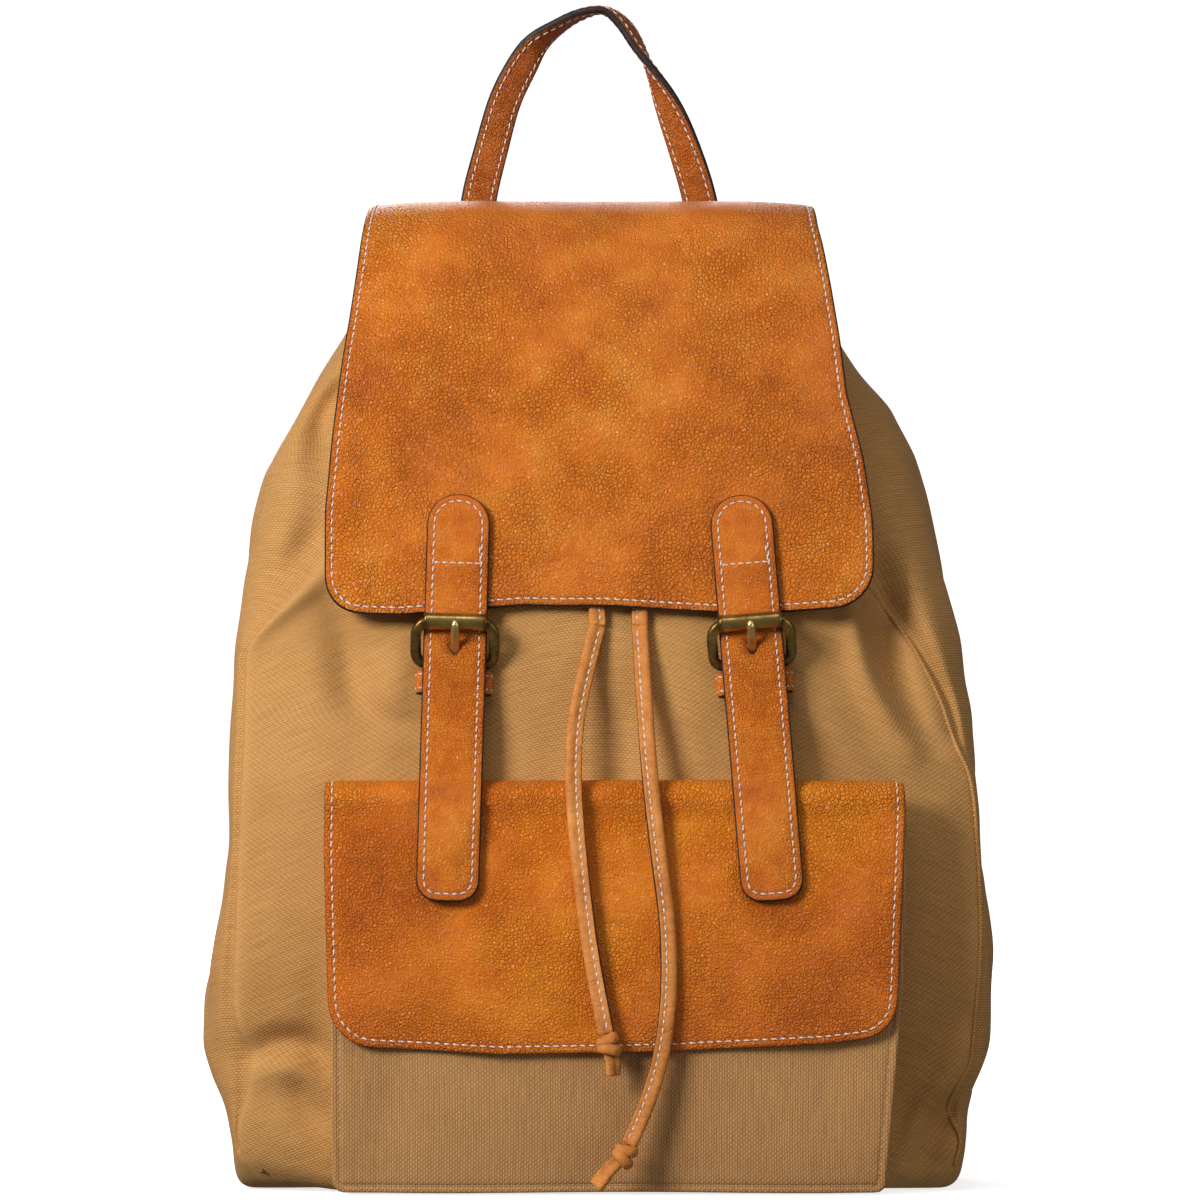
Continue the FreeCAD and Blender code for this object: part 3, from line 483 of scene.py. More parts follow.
def outline(corners, step=2.0, smooth=0):
    """A closed outline from (a, b, corner radius) points."""
    points = []
    count = len(corners)
    for i, (a, b, radius) in enumerate(corners):
        here = np.array((a, b), float)
        if radius <= 0:
            points.append(here)
            continue
        before = np.array(corners[i - 1][:2], float) - here
        after = np.array(corners[(i + 1) % count][:2], float) - here
        long_b, long_a = np.linalg.norm(before), np.linalg.norm(after)
        before /= long_b
        after /= long_a
        half = math.acos(np.clip(before @ after, -1, 1)) / 2
        reach = min(radius / math.tan(half), 0.49 * long_b, 0.49 * long_a)
        real = reach * math.tan(half)
        centre = here + (before + after) / np.linalg.norm(before + after) * (real / math.sin(half))
        first = here + before * reach - centre
        last = here + after * reach - centre
        turn = math.atan2(first[0] * last[1] - first[1] * last[0], first @ last)
        parts = max(3, int(abs(turn) / 0.12))
        for k in range(parts + 1):
            angle = turn * k / parts
            c, s = math.cos(angle), math.sin(angle)
            points.append(centre + np.array((first[0] * c - first[1] * s,
                                             first[0] * s + first[1] * c)))
    line = resample(np.array(points + [points[0]]), step)[:-1]
    for _ in range(smooth):
        line = 0.5 * line + 0.25 * (np.roll(line, 1, axis=0) + np.roll(line, -1, axis=0))
    return line[::-1] if doubled_area(line) < 0 else line


def tab(half, low, radius, low_radius, step, smooth=1, top=0):
    """The outline of a straight strip from top to low, with rounded corners."""
    return outline([(-half, top, radius), (half, top, radius), (half, low, low_radius),
                    (-half, low, low_radius)], step, smooth)


def inward(line):
    """Unit normals that point inside a closed outline."""
    along = np.roll(line, -1, axis=0) - np.roll(line, 1, axis=0)
    return unit(np.stack([-along[:, 1], along[:, 0]], axis=1))


def distance_to(points, line):
    """Distance of each point from a closed outline."""
    a, b = line, np.roll(line, -1, axis=0)
    d = b - a
    best = np.full(len(points), 1e9)
    for start in range(0, len(points), 4000):
        p = points[start:start + 4000]
        t = ((p[:, None] - a[None]) * d[None]).sum(2) / (d * d).sum(1)[None]
        near = a[None] + np.clip(t, 0, 1)[..., None] * d[None]
        best[start:start + 4000] = np.linalg.norm(p[:, None] - near, axis=2).min(1)
    return best


def inside(points, line):
    """Which points lie inside a closed outline."""
    x, y = points[:, 0], points[:, 1]
    result = np.zeros(len(points), bool)
    for (x1, y1), (x2, y2) in zip(line, np.roll(line, -1, axis=0)):
        crosses = (y1 > y) != (y2 > y)
        at = x1 + (y - y1) * (x2 - x1) / (y2 - y1 + 1e-12)
        result ^= crosses & (x < at)
    return result


def panel(build, line, place, thick, cell=3.0, inset=2.8, groove=0.35, holes=(), dome=0.0, edge=0.45,
          materials=(0, 1, 2), turn=False):
    """A sheet of leather or cloth with rounded edges, a sewing groove and real thickness.

    place(a, b, h) gives the points at h above the sheet's middle.  Materials are face, edge, back.
    """
    radius = 0.46 * thick
    depths = [0.0, 0.15 * radius, 0.5 * radius, radius, 1.7]
    if groove:
        depths += [inset - 0.75, inset, inset + 0.75]
    depths += [inset + 1.7]
    flat = []
    rings = []
    for loop, sign in [(line, 1)] + [(hole, -1) for hole in holes]:
        normal = inward(loop) * sign
        first = len(flat)
        flat.extend(loop)
        rings.append(list(range(first, first + len(loop))))
        for depth in depths[1:]:
            ring = loop + normal * depth
            keep = distance_to(ring, loop) > 0.96 * depth
            flat.extend(ring[keep])
            if sign < 0 and depth > 1:
                break
    low, high = line.min(0), line.max(0)
    a, b = np.meshgrid(np.arange(low[0], high[0], cell), np.arange(low[1], high[1], cell * 0.87))
    a = a + (np.arange(a.shape[0]) % 2)[:, None] * cell / 2
    middle = np.stack([a.ravel(), b.ravel()], axis=1)
    middle = middle[inside(middle, line)]
    middle = middle[distance_to(middle, line) > depths[-1] + 0.5 * cell]
    for hole in holes:
        middle = middle[~inside(middle, hole)]
        middle = middle[distance_to(middle, hole) > 0.6 * cell]
    flat.extend(middle)
    edges = [(ring[i], ring[(i + 1) % len(ring)]) for ring in rings for i in range(len(ring))]
    found = delaunay_2d_cdt([Vector(p) for p in flat], edges, [], 2, 1e-5, True)
    points = np.array([tuple(p) for p in found[0]])
    origin = {}
    for i, sources in enumerate(found[3]):
        for s in sources:
            origin[s] = i
    triangles = np.array([tuple(f) for f in found[2]])
    centre = points[triangles].mean(1)
    keep = inside(centre, line)
    for hole in holes:
        keep &= ~inside(centre, hole)
    triangles = triangles[keep]
    depth = distance_to(points, line)
    for hole in holes:
        depth = np.minimum(depth, distance_to(points, hole))
    round_off = np.minimum(depth, radius)
    up = thick / 2 - radius + np.sqrt(np.maximum(0, radius ** 2 - (radius - round_off) ** 2))
    top = up + dome * (1 - np.exp(-depth / 7))
    if groove:
        top = top - groove * np.exp(-((depth - inset) / 0.6) ** 2)
        top = top + 0.12 * np.exp(-((depth - inset - 2.0) / 1.4) ** 2)
    count = len(points)
    above = place(points[:, 0], points[:, 1], top)
    uvs = [(p[1] * MM, p[0] * MM) if turn else (p[0] * MM, p[1] * MM) for p in points]
    # darker within about 1.6 mm of the cut edge, as burnished leather, plus painted shade along the sewing
    # groove
    rim = np.exp(-depth / 1.6)
    if groove:
        rim = np.maximum(rim, 0.85 * np.exp(-((depth - inset) / 0.8) ** 2))
    rim = list(rim)
    paint = depth[triangles].max(1) < edge
    kinds = [materials[1] if p else materials[0] for p in paint]
    faces = [tuple(t) for t in triangles]
    below = place(points[:, 0], points[:, 1], -up)
    faces += [(t[0] + count, t[2] + count, t[1] + count) for t in triangles]
    kinds += [materials[1] if p else materials[2] for p in paint]
    for ring in rings:
        ids = [origin[i] for i in ring]
        for i, j in zip(ids, ids[1:] + ids[:1]):
            faces.append((j, i, i + count, j + count))
            kinds.append(materials[1])
    build.add([tuple(p) for p in (*above, *below)], faces, uvs + uvs, kinds, rim=rim + rim)


def stitches(build, path, place, pitch=3.5, long=2.7, radius=0.36, lift=0.0, material=0, closed=False,
             slant=0.12):
    """A row of sewn stitches along a path of (a, b) points."""
    path = np.array(path, float)
    if closed:
        path = np.vstack([path, path[:1]])
    runs = lengths(path)
    count = max(1, int(round(runs[-1] / pitch)))
    step = runs[-1] / count
    rings = [(-0.5, 0.0, -0.75), (-0.44, 0.62, -0.35), (-0.25, 0.95, 0.1), (0.0, 1.05, 0.25),
             (0.25, 0.95, 0.1), (0.44, 0.62, -0.35), (0.5, 0.0, -0.75)]
    sides = 6
    size = min(long, step * 0.82)
    a, b, h = [], [], []
    middles = (np.arange(count) + 0.5) * step
    for centre, ahead, behind in zip(sample(middles, runs, path),
                                     sample(np.minimum(middles + 0.6, runs[-1]), runs, path),
                                     sample(np.maximum(middles - 0.6, 0), runs, path)):
        along = (ahead - behind) / (np.linalg.norm(ahead - behind) + 1e-9)
        side = np.array((-along[1], along[0]))
        tilt = slant + 0.06 * noise(Vector((centre[0] * 0.7, centre[1] * 0.7, 1.3)))
        along, side = along + side * tilt, side - along * tilt
        for at, wide, up in rings:
            for s in range(sides):
                angle = TURN * s / sides
                spot = centre + along * at * size + side * (wide * radius * math.cos(angle))
                a.append(spot[0])
                b.append(spot[1])
                h.append(lift + radius * (up + wide * math.sin(angle) * 0.9))
    points = place(np.array(a), np.array(b), np.array(h))
    faces = []
    per = len(rings) * sides
    for k in range(count):
        for i in range(len(rings) - 1):
            for s in range(sides):
                base = k * per + i * sides
                faces.append((base + s, base + (s + 1) % sides, base + sides + (s + 1) % sides,
                              base + sides + s))
    build.add(points, faces, [(0.0, 0.0)] * len(points), material)


def cross_stitch(build, place, middle, half, low, high, lift):
    """Two diagonal rows of stitches."""
    for way in (1, -1):
        stitches(build, [(middle - way * half, low), (middle + way * half, high)], place, lift=lift,
                 material=3)


def inset_path(line, inset):
    """The sewing line inside a closed outline."""
    ring = line + inward(line) * inset
    return ring[distance_to(ring, line) > 0.94 * inset]


def open_path(path):
    """A closed path with a gap in it, as a line from one side of the gap to the other."""
    start = np.argmax(np.linalg.norm(path - np.roll(path, 1, axis=0), axis=1))
    return np.roll(path, -start, axis=0)


def sweep(build, path, section, across, out, material=0, closed=False, scale=None):
    """A section of (a, b) points carried along a path; across and out are unit vectors per point."""
    rows, uvs = [], []
    runs = lengths(path)
    around = lengths(np.vstack([section, section[:1]]))[:-1]
    for i, spot in enumerate(path):
        size = 1.0 if scale is None else scale[i]
        rows.append([spot + across[i] * a * size + out[i] * b * size for a, b in section])
        uvs.append([(g * MM, runs[i] * MM) for g in around])
    if closed:
        rows.append(rows[0])
        uvs.append([(g * MM, (runs[-1] + 1) * MM) for g in around])
    tall, wide = len(rows), len(section)
    faces = [(i * wide + j, i * wide + (j + 1) % wide, (i + 1) * wide + (j + 1) % wide, (i + 1) * wide + j)
             for i in range(tall - 1) for j in range(wide)]
    kinds = material * (tall - 1) if isinstance(material, list) else [material] * len(faces)
    if not closed:
        faces.append(tuple(range(wide - 1, -1, -1)))
        faces.append(tuple((tall - 1) * wide + j for j in range(wide)))
        kinds = kinds + [kinds[0], kinds[0]]
    build.add([p for row in rows for p in row], faces, [q for row in uvs for q in row], kinds)


def frames_along(path, out_hint, twist=None):
    """Unit vectors across and out at each point of a path."""
    path = np.array(path, float)
    along = along_of(path)
    hint = np.broadcast_to(np.array(out_hint, float), path.shape)
    out = unit(hint - (hint * along).sum(1, keepdims=True) * along)
    across = np.cross(along, out)
    if twist is not None:
        c, s = np.cos(twist)[:, None], np.sin(twist)[:, None]
        across, out = across * c + out * s, out * c - across * s
    return across, out


def turned(build, profile_points, centre, axis):
    """A shape turned about an axis, from (radius, along) points."""
    axis = unit(np.array(axis, float))
    side = unit(np.cross(axis, (0.3, 0.5, 0.8)))
    other = np.cross(axis, side)
    rows = []
    for radius, along in profile_points:
        rows.append([np.array(centre) + axis * along + radius * (side * math.cos(a) + other * math.sin(a))
                     for a in np.linspace(0, TURN, 32, endpoint=False)])
    build.grid(rows, closed=True)


# ---- the drawstring tails

def front_y(height):
    """Where the leaning part of the front stands at a height."""
    return FRONT_FOOT + (height - FRONT_TURN) * LEAN_BACK / LEAN_UP


def on_front(height, off):
    """A point `off` in front of the leaning part of the front, as (y, z)."""
    return np.array((front_y(height) - math.cos(LEAN) * off, height + math.sin(LEAN) * off))


def spline_through(name, points):
    """The smooth line of a cord: a NURBS curve with the route's points, read back as points in mm."""
    data = bpy.data.curves.new(name, "CURVE")
    data.dimensions = "3D"
    data.resolution_u = 24
    spline = data.splines.new("NURBS")
    spline.points.add(len(points) - 1)
    for spot, place in zip(spline.points, points):
        spot.co = (place[0] * MM, place[1] * MM, place[2] * MM, 1)
    spline.order_u = 3
    spline.use_endpoint_u = True
    holder = bpy.data.objects.new(name, data)
    bpy.context.scene.collection.objects.link(holder)
    bpy.context.view_layer.update()
    mesh = bpy.data.meshes.new_from_object(holder)
    line = np.array([tuple(v.co) for v in mesh.vertices]) / MM
    bpy.data.objects.remove(holder)
    bpy.data.meshes.remove(mesh)
    return resample(line, 1.2)


# the thong's section: folded on the left, its cut edges, which take the edge paint, on the right
THONG_SECTION = np.array([(-3.3, 0.0), (-3.15, -0.8), (-2.6, -1.35), (-1.6, -1.62), (-0.4, -1.5),
                          (0.4, -1.12), (1.0, -0.98), (1.6, -1.12), (2.4, -1.2), (3.1, -1.15), (3.3, -0.9),
                          (3.3, 0.9), (3.1, 1.15), (2.4, 1.2), (1.0, 1.1), (-0.6, 1.35), (-1.6, 1.5),
                          (-2.6, 1.3), (-3.15, 0.8)])
THONG_KINDS = [1 if 9 <= i <= 11 else 0 for i in range(len(THONG_SECTION))]


def thong(name, line, fold, twist, thread_from=0.0):
    """A folded, sewn leather thong along a line; fold is -1 with the fold on the left, 1 on the right."""
    b = Build()
    across, out = frames_along(line, (0, 1, 0), twist)
    across = across * fold
    sweep(b, line, THONG_SECTION, across, out, THONG_KINDS)
    runs = lengths(line)

    def place(a, s, h):
        spot, side, away = (sample(s, runs, values) for values in (line, across, out))
        return spot + side * a[:, None] - away * (h + 0.98)[:, None]

    stitches(b, [(1.0, 2.0 + thread_from), (1.0, runs[-1] - 1.5)], place, pitch=3.4, long=2.5, radius=0.38,
             lift=0.05, material=2, slant=0.10)
    return b.make(name, [THONG, EDGE, THREAD])


def knot(name, centre, heading, cut_end, fold):
    """An overhand knot in the thong, with its cut end spreading below."""
    b = Build()
    heading = unit(np.array(heading, float))
    centre = np.array(centre, float)
    side = unit(np.cross(heading, (0, 1, 0)))
    front = np.cross(side, heading)
    turns = np.linspace(0, TURN, 33)[:-1]
    for tilt, wide, drop, girth in ((0.30, 3.5, -1.9, 1.0), (-0.42, 3.7, 1.5, 1.0), (1.05, 3.0, 0.0, 0.85)):
        axis = heading * math.cos(tilt) + side * math.sin(tilt)
        u = unit(np.cross(axis, front))
        w = np.cross(axis, u)
        middle = centre + heading * drop
        ring = np.array([middle + u * wide * math.cos(a) + w * wide * 0.8 * math.sin(a) for a in turns])
        sweep(b, ring, ring_points(2.3 * girth, 1.35 * girth, 12), np.broadcast_to(axis, ring.shape),
              unit(ring - middle), 0, closed=True)
    # the cut end
    end = np.array(cut_end, float)
    line = resample(np.array([centre, centre * 0.45 + end * 0.55 + side * fold * 0.8, end]), 0.9)
    across, out = frames_along(line, (0, 1, 0), np.linspace(0, 0.7 * fold, len(line)))
    size = np.linspace(0.85, 1.08, len(line))
    sweep(b, line, THONG_SECTION * 0.95, across * fold, out, THONG_KINDS, scale=size)
    return b.make(name, [THONG, EDGE, THREAD])


def eyelet_spot(off):
    """A point `off` in front of the cloth on the eyelets' line, as (y, z)."""
    return np.array((-12.2 - off * math.cos(EYELET_TILT), 350.2 + off * math.sin(EYELET_TILT)))


# the closure straps' x at the buckle and their lean in degrees, and the points of the drawstring's tails
STRAPS = {"left": (-58.1, 1.5), "right": (61.2, -4.5)}
TAILS = {
    "left": [(-1, -51.5, 226.6), (-7, -62, 204), (-10.8, -72, 182), (-10.5, -80, 156), (-7, -87, 122),
             (-3, -90.4, 92), (2.4, -91.6, 65)],
    "right": [(16, -51.5, 226.6), (17.5, -62.5, 200), (19.5, -76, 170), (23, -84.6, 138), (27.5, -88.2, 105),
              (27.2, -89.4, 72), (21.5, -88.4, 42), (11.6, -87.2, 21)],
}
CUT_ENDS = {"left": (5, -91, 48.5), "right": (-1.5, -86.4, 4.2)}
EYELETS = {"left": -16.0, "right": 18.0}


def make_cords():
    for side, fold in (("left", 1), ("right", -1)):
        line = spline_through(f"route_{side}", TAILS[side])
        runs = np.linspace(0, 1, len(line))
        twist = 0.22 * np.sin(runs * 5.0 + (0.6 if side == "left" else 2.2)) * fold
        tail = thong(f"drawcord_tail_{side}_thong", line, fold, twist)
        settle(tail, f"cord_{side}", "cord_leather", f"drawcord_tail_{side}")
        heading = unit(line[-1] - line[-4])
        tied = knot(f"drawcord_knot_{side}_tied", line[-1] + heading * 4.6, heading, CUT_ENDS[side], fold)
        settle(tied, f"cord_{side}", "cord_leather", f"drawcord_knot_{side}")
        float(lengths(line)[-1]) * MM

        # the hidden part, from the eyelet down to the tail
        x = EYELETS[side]
        start = TAILS[side][0]
        bend_x = start[0] + (x - start[0]) * 0.71
        points = [start, (start[0], *on_front(236, 2.7)), (bend_x, *on_front(316, 2.6)),
                  (x, *eyelet_spot(4.4)), (x, *eyelet_spot(-7))]
        line = spline_through(f"upper_route_{side}", points)
        twist = np.linspace(0, twist[0], len(line))
        upper = thong(f"drawcord_upper_{side}_thong", line[::-1], fold, twist, 12.0)
        settle(upper, "bag", "cord_leather", f"drawcord_upper_{side}")
        float(lengths(line)[-1]) * MM


make_cords()


# ---- the canvas body

# half widths of the silhouette and of the front seams, by height
WIDE_LEFT = profile([(0, 146), (12, 147.5), (19, 147.8), (32, 151.7), (43.5, 157), (57.6, 158.7), (89, 157),
                     (114, 152.8), (137, 150), (157, 150), (181, 148.7), (222, 148.2), (245, 145.4),
                     (270, 142.3), (289, 138.5), (302, 130), (313, 123), (327, 115), (345, 102), (375, 86),
                     (385, 84)], 3)
WIDE_RIGHT = profile([(0, 144), (11.4, 146.5), (18.4, 147.6), (30, 148.2), (42, 153.5), (57.3, 157.9),
                      (80.8, 158.6), (96, 159), (118.4, 155.9), (136, 154.7), (165, 152.4), (190, 151.2),
                      (204, 148.2), (225, 144.7), (252, 141.2), (279, 135.3), (296.8, 130), (314.4, 118.8),
                      (325, 108), (340, 97.4), (375, 86), (385, 84)], 3)
SEAM_LEFT = profile([(0, 141), (17, 146), (34, 140.5), (55, 136.8), (63, 143), (75, 145.8), (99, 145.2),
                     (134, 144.6), (180, 142.3), (219, 141.7), (230, 130), (243, 117), (252, 110), (270, 101),
                     (300, 90), (341, 75), (385, 62)], 3)
SEAM_RIGHT = profile([(0, 140), (17, 145), (32.6, 137.5), (40, 143), (49, 148.2), (69, 150), (87, 151.8),
                      (104, 152.6), (128, 151.8), (157, 150), (169, 147.6), (176, 143.5), (186, 140),
                      (196, 137), (209, 130.6), (221.5, 123.5), (232, 115.3), (243, 107), (260, 98),
                      (300, 88), (341, 75), (385, 62)], 3)


def front_table():
    """How far forward the middle of the front stands, as (height, y) pairs."""
    table = []
    half = FRONT_TURN / 2
    for height in np.arange(0, FRONT_TURN + 1, 4.0):
        bow = 7 * (1 - ((height - half) / half) ** 2)
        table.append((height, FRONT_FOOT + 2 - 2 * height / FRONT_TURN - bow))
    table += [(height, front_y(height)) for height in np.arange(166, 301, 4.0)]
    for height in np.arange(304, 376, 3.0):
        share = (height - 300) / 75
        table.append((height, -33 + 41 * share - 5.6 * 4 * share * (1 - share)))
    table += [(385, 14)]
    return table


FRONT = profile(front_table(), 2)
CORNER = profile([(0, 20), (60, 26), (150, 28), (220, 30), (250, 42), (290, 52), (345, 46), (385, 30)], 5)
DROP_LEFT = profile([(0, 10), (60, 12), (150, 12), (225, 8), (260, 5), (341, 6), (385, 9)], 5)
DROP_RIGHT = profile([(0, 16), (60, 26), (150, 26), (200, 18), (230, 10), (260, 6), (341, 6), (385, 9)], 5)

# folds and dents in the cloth: (x, z) points along each, half width, depth (down into the bag is positive)
FOLDS = [
    # left shoulder and side
    ([(-103, 336), (-113, 329), (-124, 319), (-138, 293)], 6, -5.0),
    ([(-100, 326), (-110, 313), (-113, 295)], 9.5, 20),
    ([(-110, 292), (-114, 268), (-118, 250)], 13, 4.0),
    ([(-141, 263), (-130, 280), (-122, 298)], 10, -2.6),
    ([(-142, 236), (-128, 249), (-114, 264)], 8, 4.0),
    ([(-143, 221), (-131, 231), (-110, 247)], 5.5, -3.4),
    ([(-108, 240), (-102, 219), (-99, 203), (-92, 190)], 9, 5.2),
    ([(-124, 216), (-118, 200), (-110, 176)], 15, -2.2),
    ([(-78, 222), (-82, 205), (-90, 188)], 9, -1.8),
    ([(-100, 196), (-82, 188), (-66, 186)], 5, 1.6),
    # left lower side
    ([(-137, 57), (-126, 61), (-117, 60), (-110, 54)], 6, 4.2),
    ([(-138, 47), (-128, 50), (-118, 48), (-112, 41)], 7, -2.6),
    ([(-122, 45), (-117, 34), (-112, 30)], 5, 2.4),
    ([(-134, 35), (-126, 22), (-118, 15)], 9, -1.6),
    ([(-146, 76), (-143, 63), (-137, 57)], 4, -1.8),
    ([(-113, 100), (-112, 70), (-110, 30)], 7, 1.6),
    # right shoulder and side
    ([(98, 332), (107, 325)], 3.5, -1.6),
    ([(109, 246), (113, 226), (119, 208), (127, 194), (136, 182)], 7.5, 8.0),
    ([(101, 242), (104, 219), (109, 203), (116, 190), (125, 177)], 6.0, -4.6),
    ([(121, 207), (128, 196), (135, 185), (139, 176)], 5.5, -3.6),
    ([(116, 236), (124, 225), (132, 211), (139, 197), (143, 182)], 4, 3.4),
    ([(125, 262), (129, 240), (137, 218), (144, 200)], 8, -2.2),
    ([(110, 262), (116, 245), (124, 228)], 8, 3.0),
    ([(104, 312), (112, 296), (120, 278)], 9, 3.6),
    ([(128, 299), (130, 280), (134, 262)], 7, -2.0),
    ([(74, 226), (82, 200), (94, 178), (104, 168)], 14, -2.4),
    ([(86, 176), (104, 164), (126, 158)], 11, 2.6),
    # right lower side
    ([(146, 60), (140, 46), (132, 35), (126, 23), (121, 8)], 6, -3.6),
    ([(139, 34), (134, 27), (130, 17), (127, 6)], 6, 5.0),
    ([(135, 31), (139, 27)], 6, 3.0),
    ([(124, 40), (122, 27), (121, 14)], 6, 2.8),
    ([(134, 60), (130, 50), (128, 40)], 9, 1.6),
    ([(118, 60), (117, 30), (116, 6)], 5, 1.2),
    # centre, under the lid and between the straps
    ([(-34, 232), (-36, 205), (-33, 178)], 16, -1.6),
    ([(36, 232), (38, 205), (36, 176)], 15, -1.6),
    ([(0, 200), (2, 180), (0, 168)], 18, 1.4),
]
SIDE_FOLDS = [
    # on the gussets: (y, z) points, half width, depth into the bag, side
    ([(-30, 36), (-5, 52), (20, 58)], 10, 5.0, -1),
    ([(-28, 60), (-5, 78), (18, 84)], 12, -2.0, -1),
    ([(-20, 150), (0, 125), (8, 95)], 12, 3.4, -1),
    ([(10, 240), (0, 200), (6, 160)], 14, 4.0, -1),
    ([(25, 300), (10, 260), (18, 220)], 12, 3.5, -1),
    ([(-24, 128), (-2, 150), (14, 190)], 11, 3.2, 1),
    ([(-26, 40), (-4, 52), (26, 50)], 9, 5.0, 1),
    ([(20, 300), (8, 255), (16, 210)], 13, 4.0, 1),
    ([(-10, 96), (8, 90), (30, 96)], 14, -0.7, 1),
    ([(40, 180), (34, 120), (40, 70)], 10, 3.0, 1),
    ([(42, 170), (36, 120), (40, 60)], 10, 3.0, -1),
]


def stroke(spots, line, half, depth):
    """A smooth dent along a line, fading out past its ends."""
    line = catmull(line, 2.0)
    a, b = line[:-1], line[1:]
    d = b - a
    t = ((spots[:, None] - a[None]) * d[None]).sum(2) / (d * d).sum(1)[None]
    inner = np.clip(t, 0, 1)
    gap = np.linalg.norm(spots[:, None] - (a[None] + inner[..., None] * d[None]), axis=2)
    best = gap.argmin(1)
    near = gap.min(1)
    place = (best + inner[np.arange(len(best)), best]) / len(d)
    fade = np.sin(np.pi * np.clip(0.12 + 0.76 * place, 0, 1)) ** 0.8
    return depth * fade * np.exp(-0.5 * (near / (half * 0.62)) ** 2)


def cloth_noise(points, scale, seed):
    """Smooth unevenness at each point; 1 / scale is about the size of a lump in mm."""
    return np.array([noise(Vector((p[0] * scale + seed, p[1] * scale, p[2] * scale))) for p in points])


FOLD_GAIN = 1.5
SHOULDER, TOP_ROW, FRONT_LIMIT = 300, 373.5, -69
FRONT_COLUMNS, TURN_COLUMNS, SIDE_COLUMNS, BACK_COLUMNS = 72, 13, 16, 40


def girth(height, inset=0.0):
    """One cross-section of the bag, anticlockwise from the left back corner round the front, as (x, y)."""
    left, right = WIDE_LEFT(height) - inset, WIDE_RIGHT(height) - inset
    seam_l, seam_r = SEAM_LEFT(height) - inset, SEAM_RIGHT(height) - inset
    seam_l, seam_r = min(seam_l, left - 1.2), min(seam_r, right - 1.2)
    front = FRONT(height) + inset
    deep = CORNER(height)
    drop_l, drop_r = DROP_LEFT(height), DROP_RIGHT(height)
    back = 61.6 - inset

    def corner(wide, seam, sign):
        """The turn from the front seam and the gusset behind it."""
        turn, side = [], []
        edge_y = front + (drop_l if sign < 0 else drop_r)
        for k in range(1, TURN_COLUMNS + 1):
            angle = k / TURN_COLUMNS * math.pi / 2
            turn.append((sign * (seam + (wide - seam) * math.sin(angle) ** 0.9),
                         edge_y + deep * (1 - math.cos(angle) ** 1.1)))
        for k in range(1, SIDE_COLUMNS + 1):
            t = k / SIDE_COLUMNS
            rear = 1 - max(0, (t - 0.86) / 0.14) ** 2.2
            side.append((sign * (wide - 2.2 * (1 - rear) - 1.2 * math.sin(math.pi * t)),
                         edge_y + deep + (back - edge_y - deep) * (1 - (1 - t) ** 1.08)))
        return turn, side

    turn_l, side_l = corner(left, seam_l, -1)
    turn_r, side_r = corner(right, seam_r, 1)
    points = side_l[::-1] + turn_l[::-1]
    for k in range(FRONT_COLUMNS + 1):
        f = -1 + 2 * k / FRONT_COLUMNS
        x = f * (seam_l if f < 0 else seam_r)
        points.append((x, front + (drop_l * abs(f) ** 5 if f < 0 else drop_r * abs(f) ** 4)))
    points += turn_r + side_r
    start, end = points[-1], points[0]
    for k in range(1, BACK_COLUMNS):
        t = k / BACK_COLUMNS
        x = start[0] + (end[0] - start[0]) * t
        points.append((x, back + 0.6 * math.sin(math.pi * t)))
    return points


def lifted(x, y, height, share):
    """The front bottom corners lift a little off the ground."""
    left = 11 * ease((-x - 98) / 50)
    right = 3.6 * ease((x - 108) / 12) + 7 * ease((x - 132) / 16)
    front = 1 - ease((y + 60) / 32)
    return height + (left + right) * front * share * max(0.0, 1 - height / 70)


def body_rows():
    """The (inset, height) of each row of the canvas, from the middle of the base to the mouth."""
    rows = []
    for inset, height in ((46, 0.4), (18, 0.3), (7.5, 0.2), (4.6, 0.5), (2.2, 1.7), (0.8, 3.6), (0.0, 6.4)):
        rows.append((inset, height))
    for height in np.arange(10, 372, 3.6):
        rows.append((0.0, float(height)))
    return rows + [(0.0, TOP_ROW)]


def top_of(y):
    """The mouth's height, which rises towards the back."""
    return 375 + 10 * np.clip((y - 8) / 53, 0, 1)


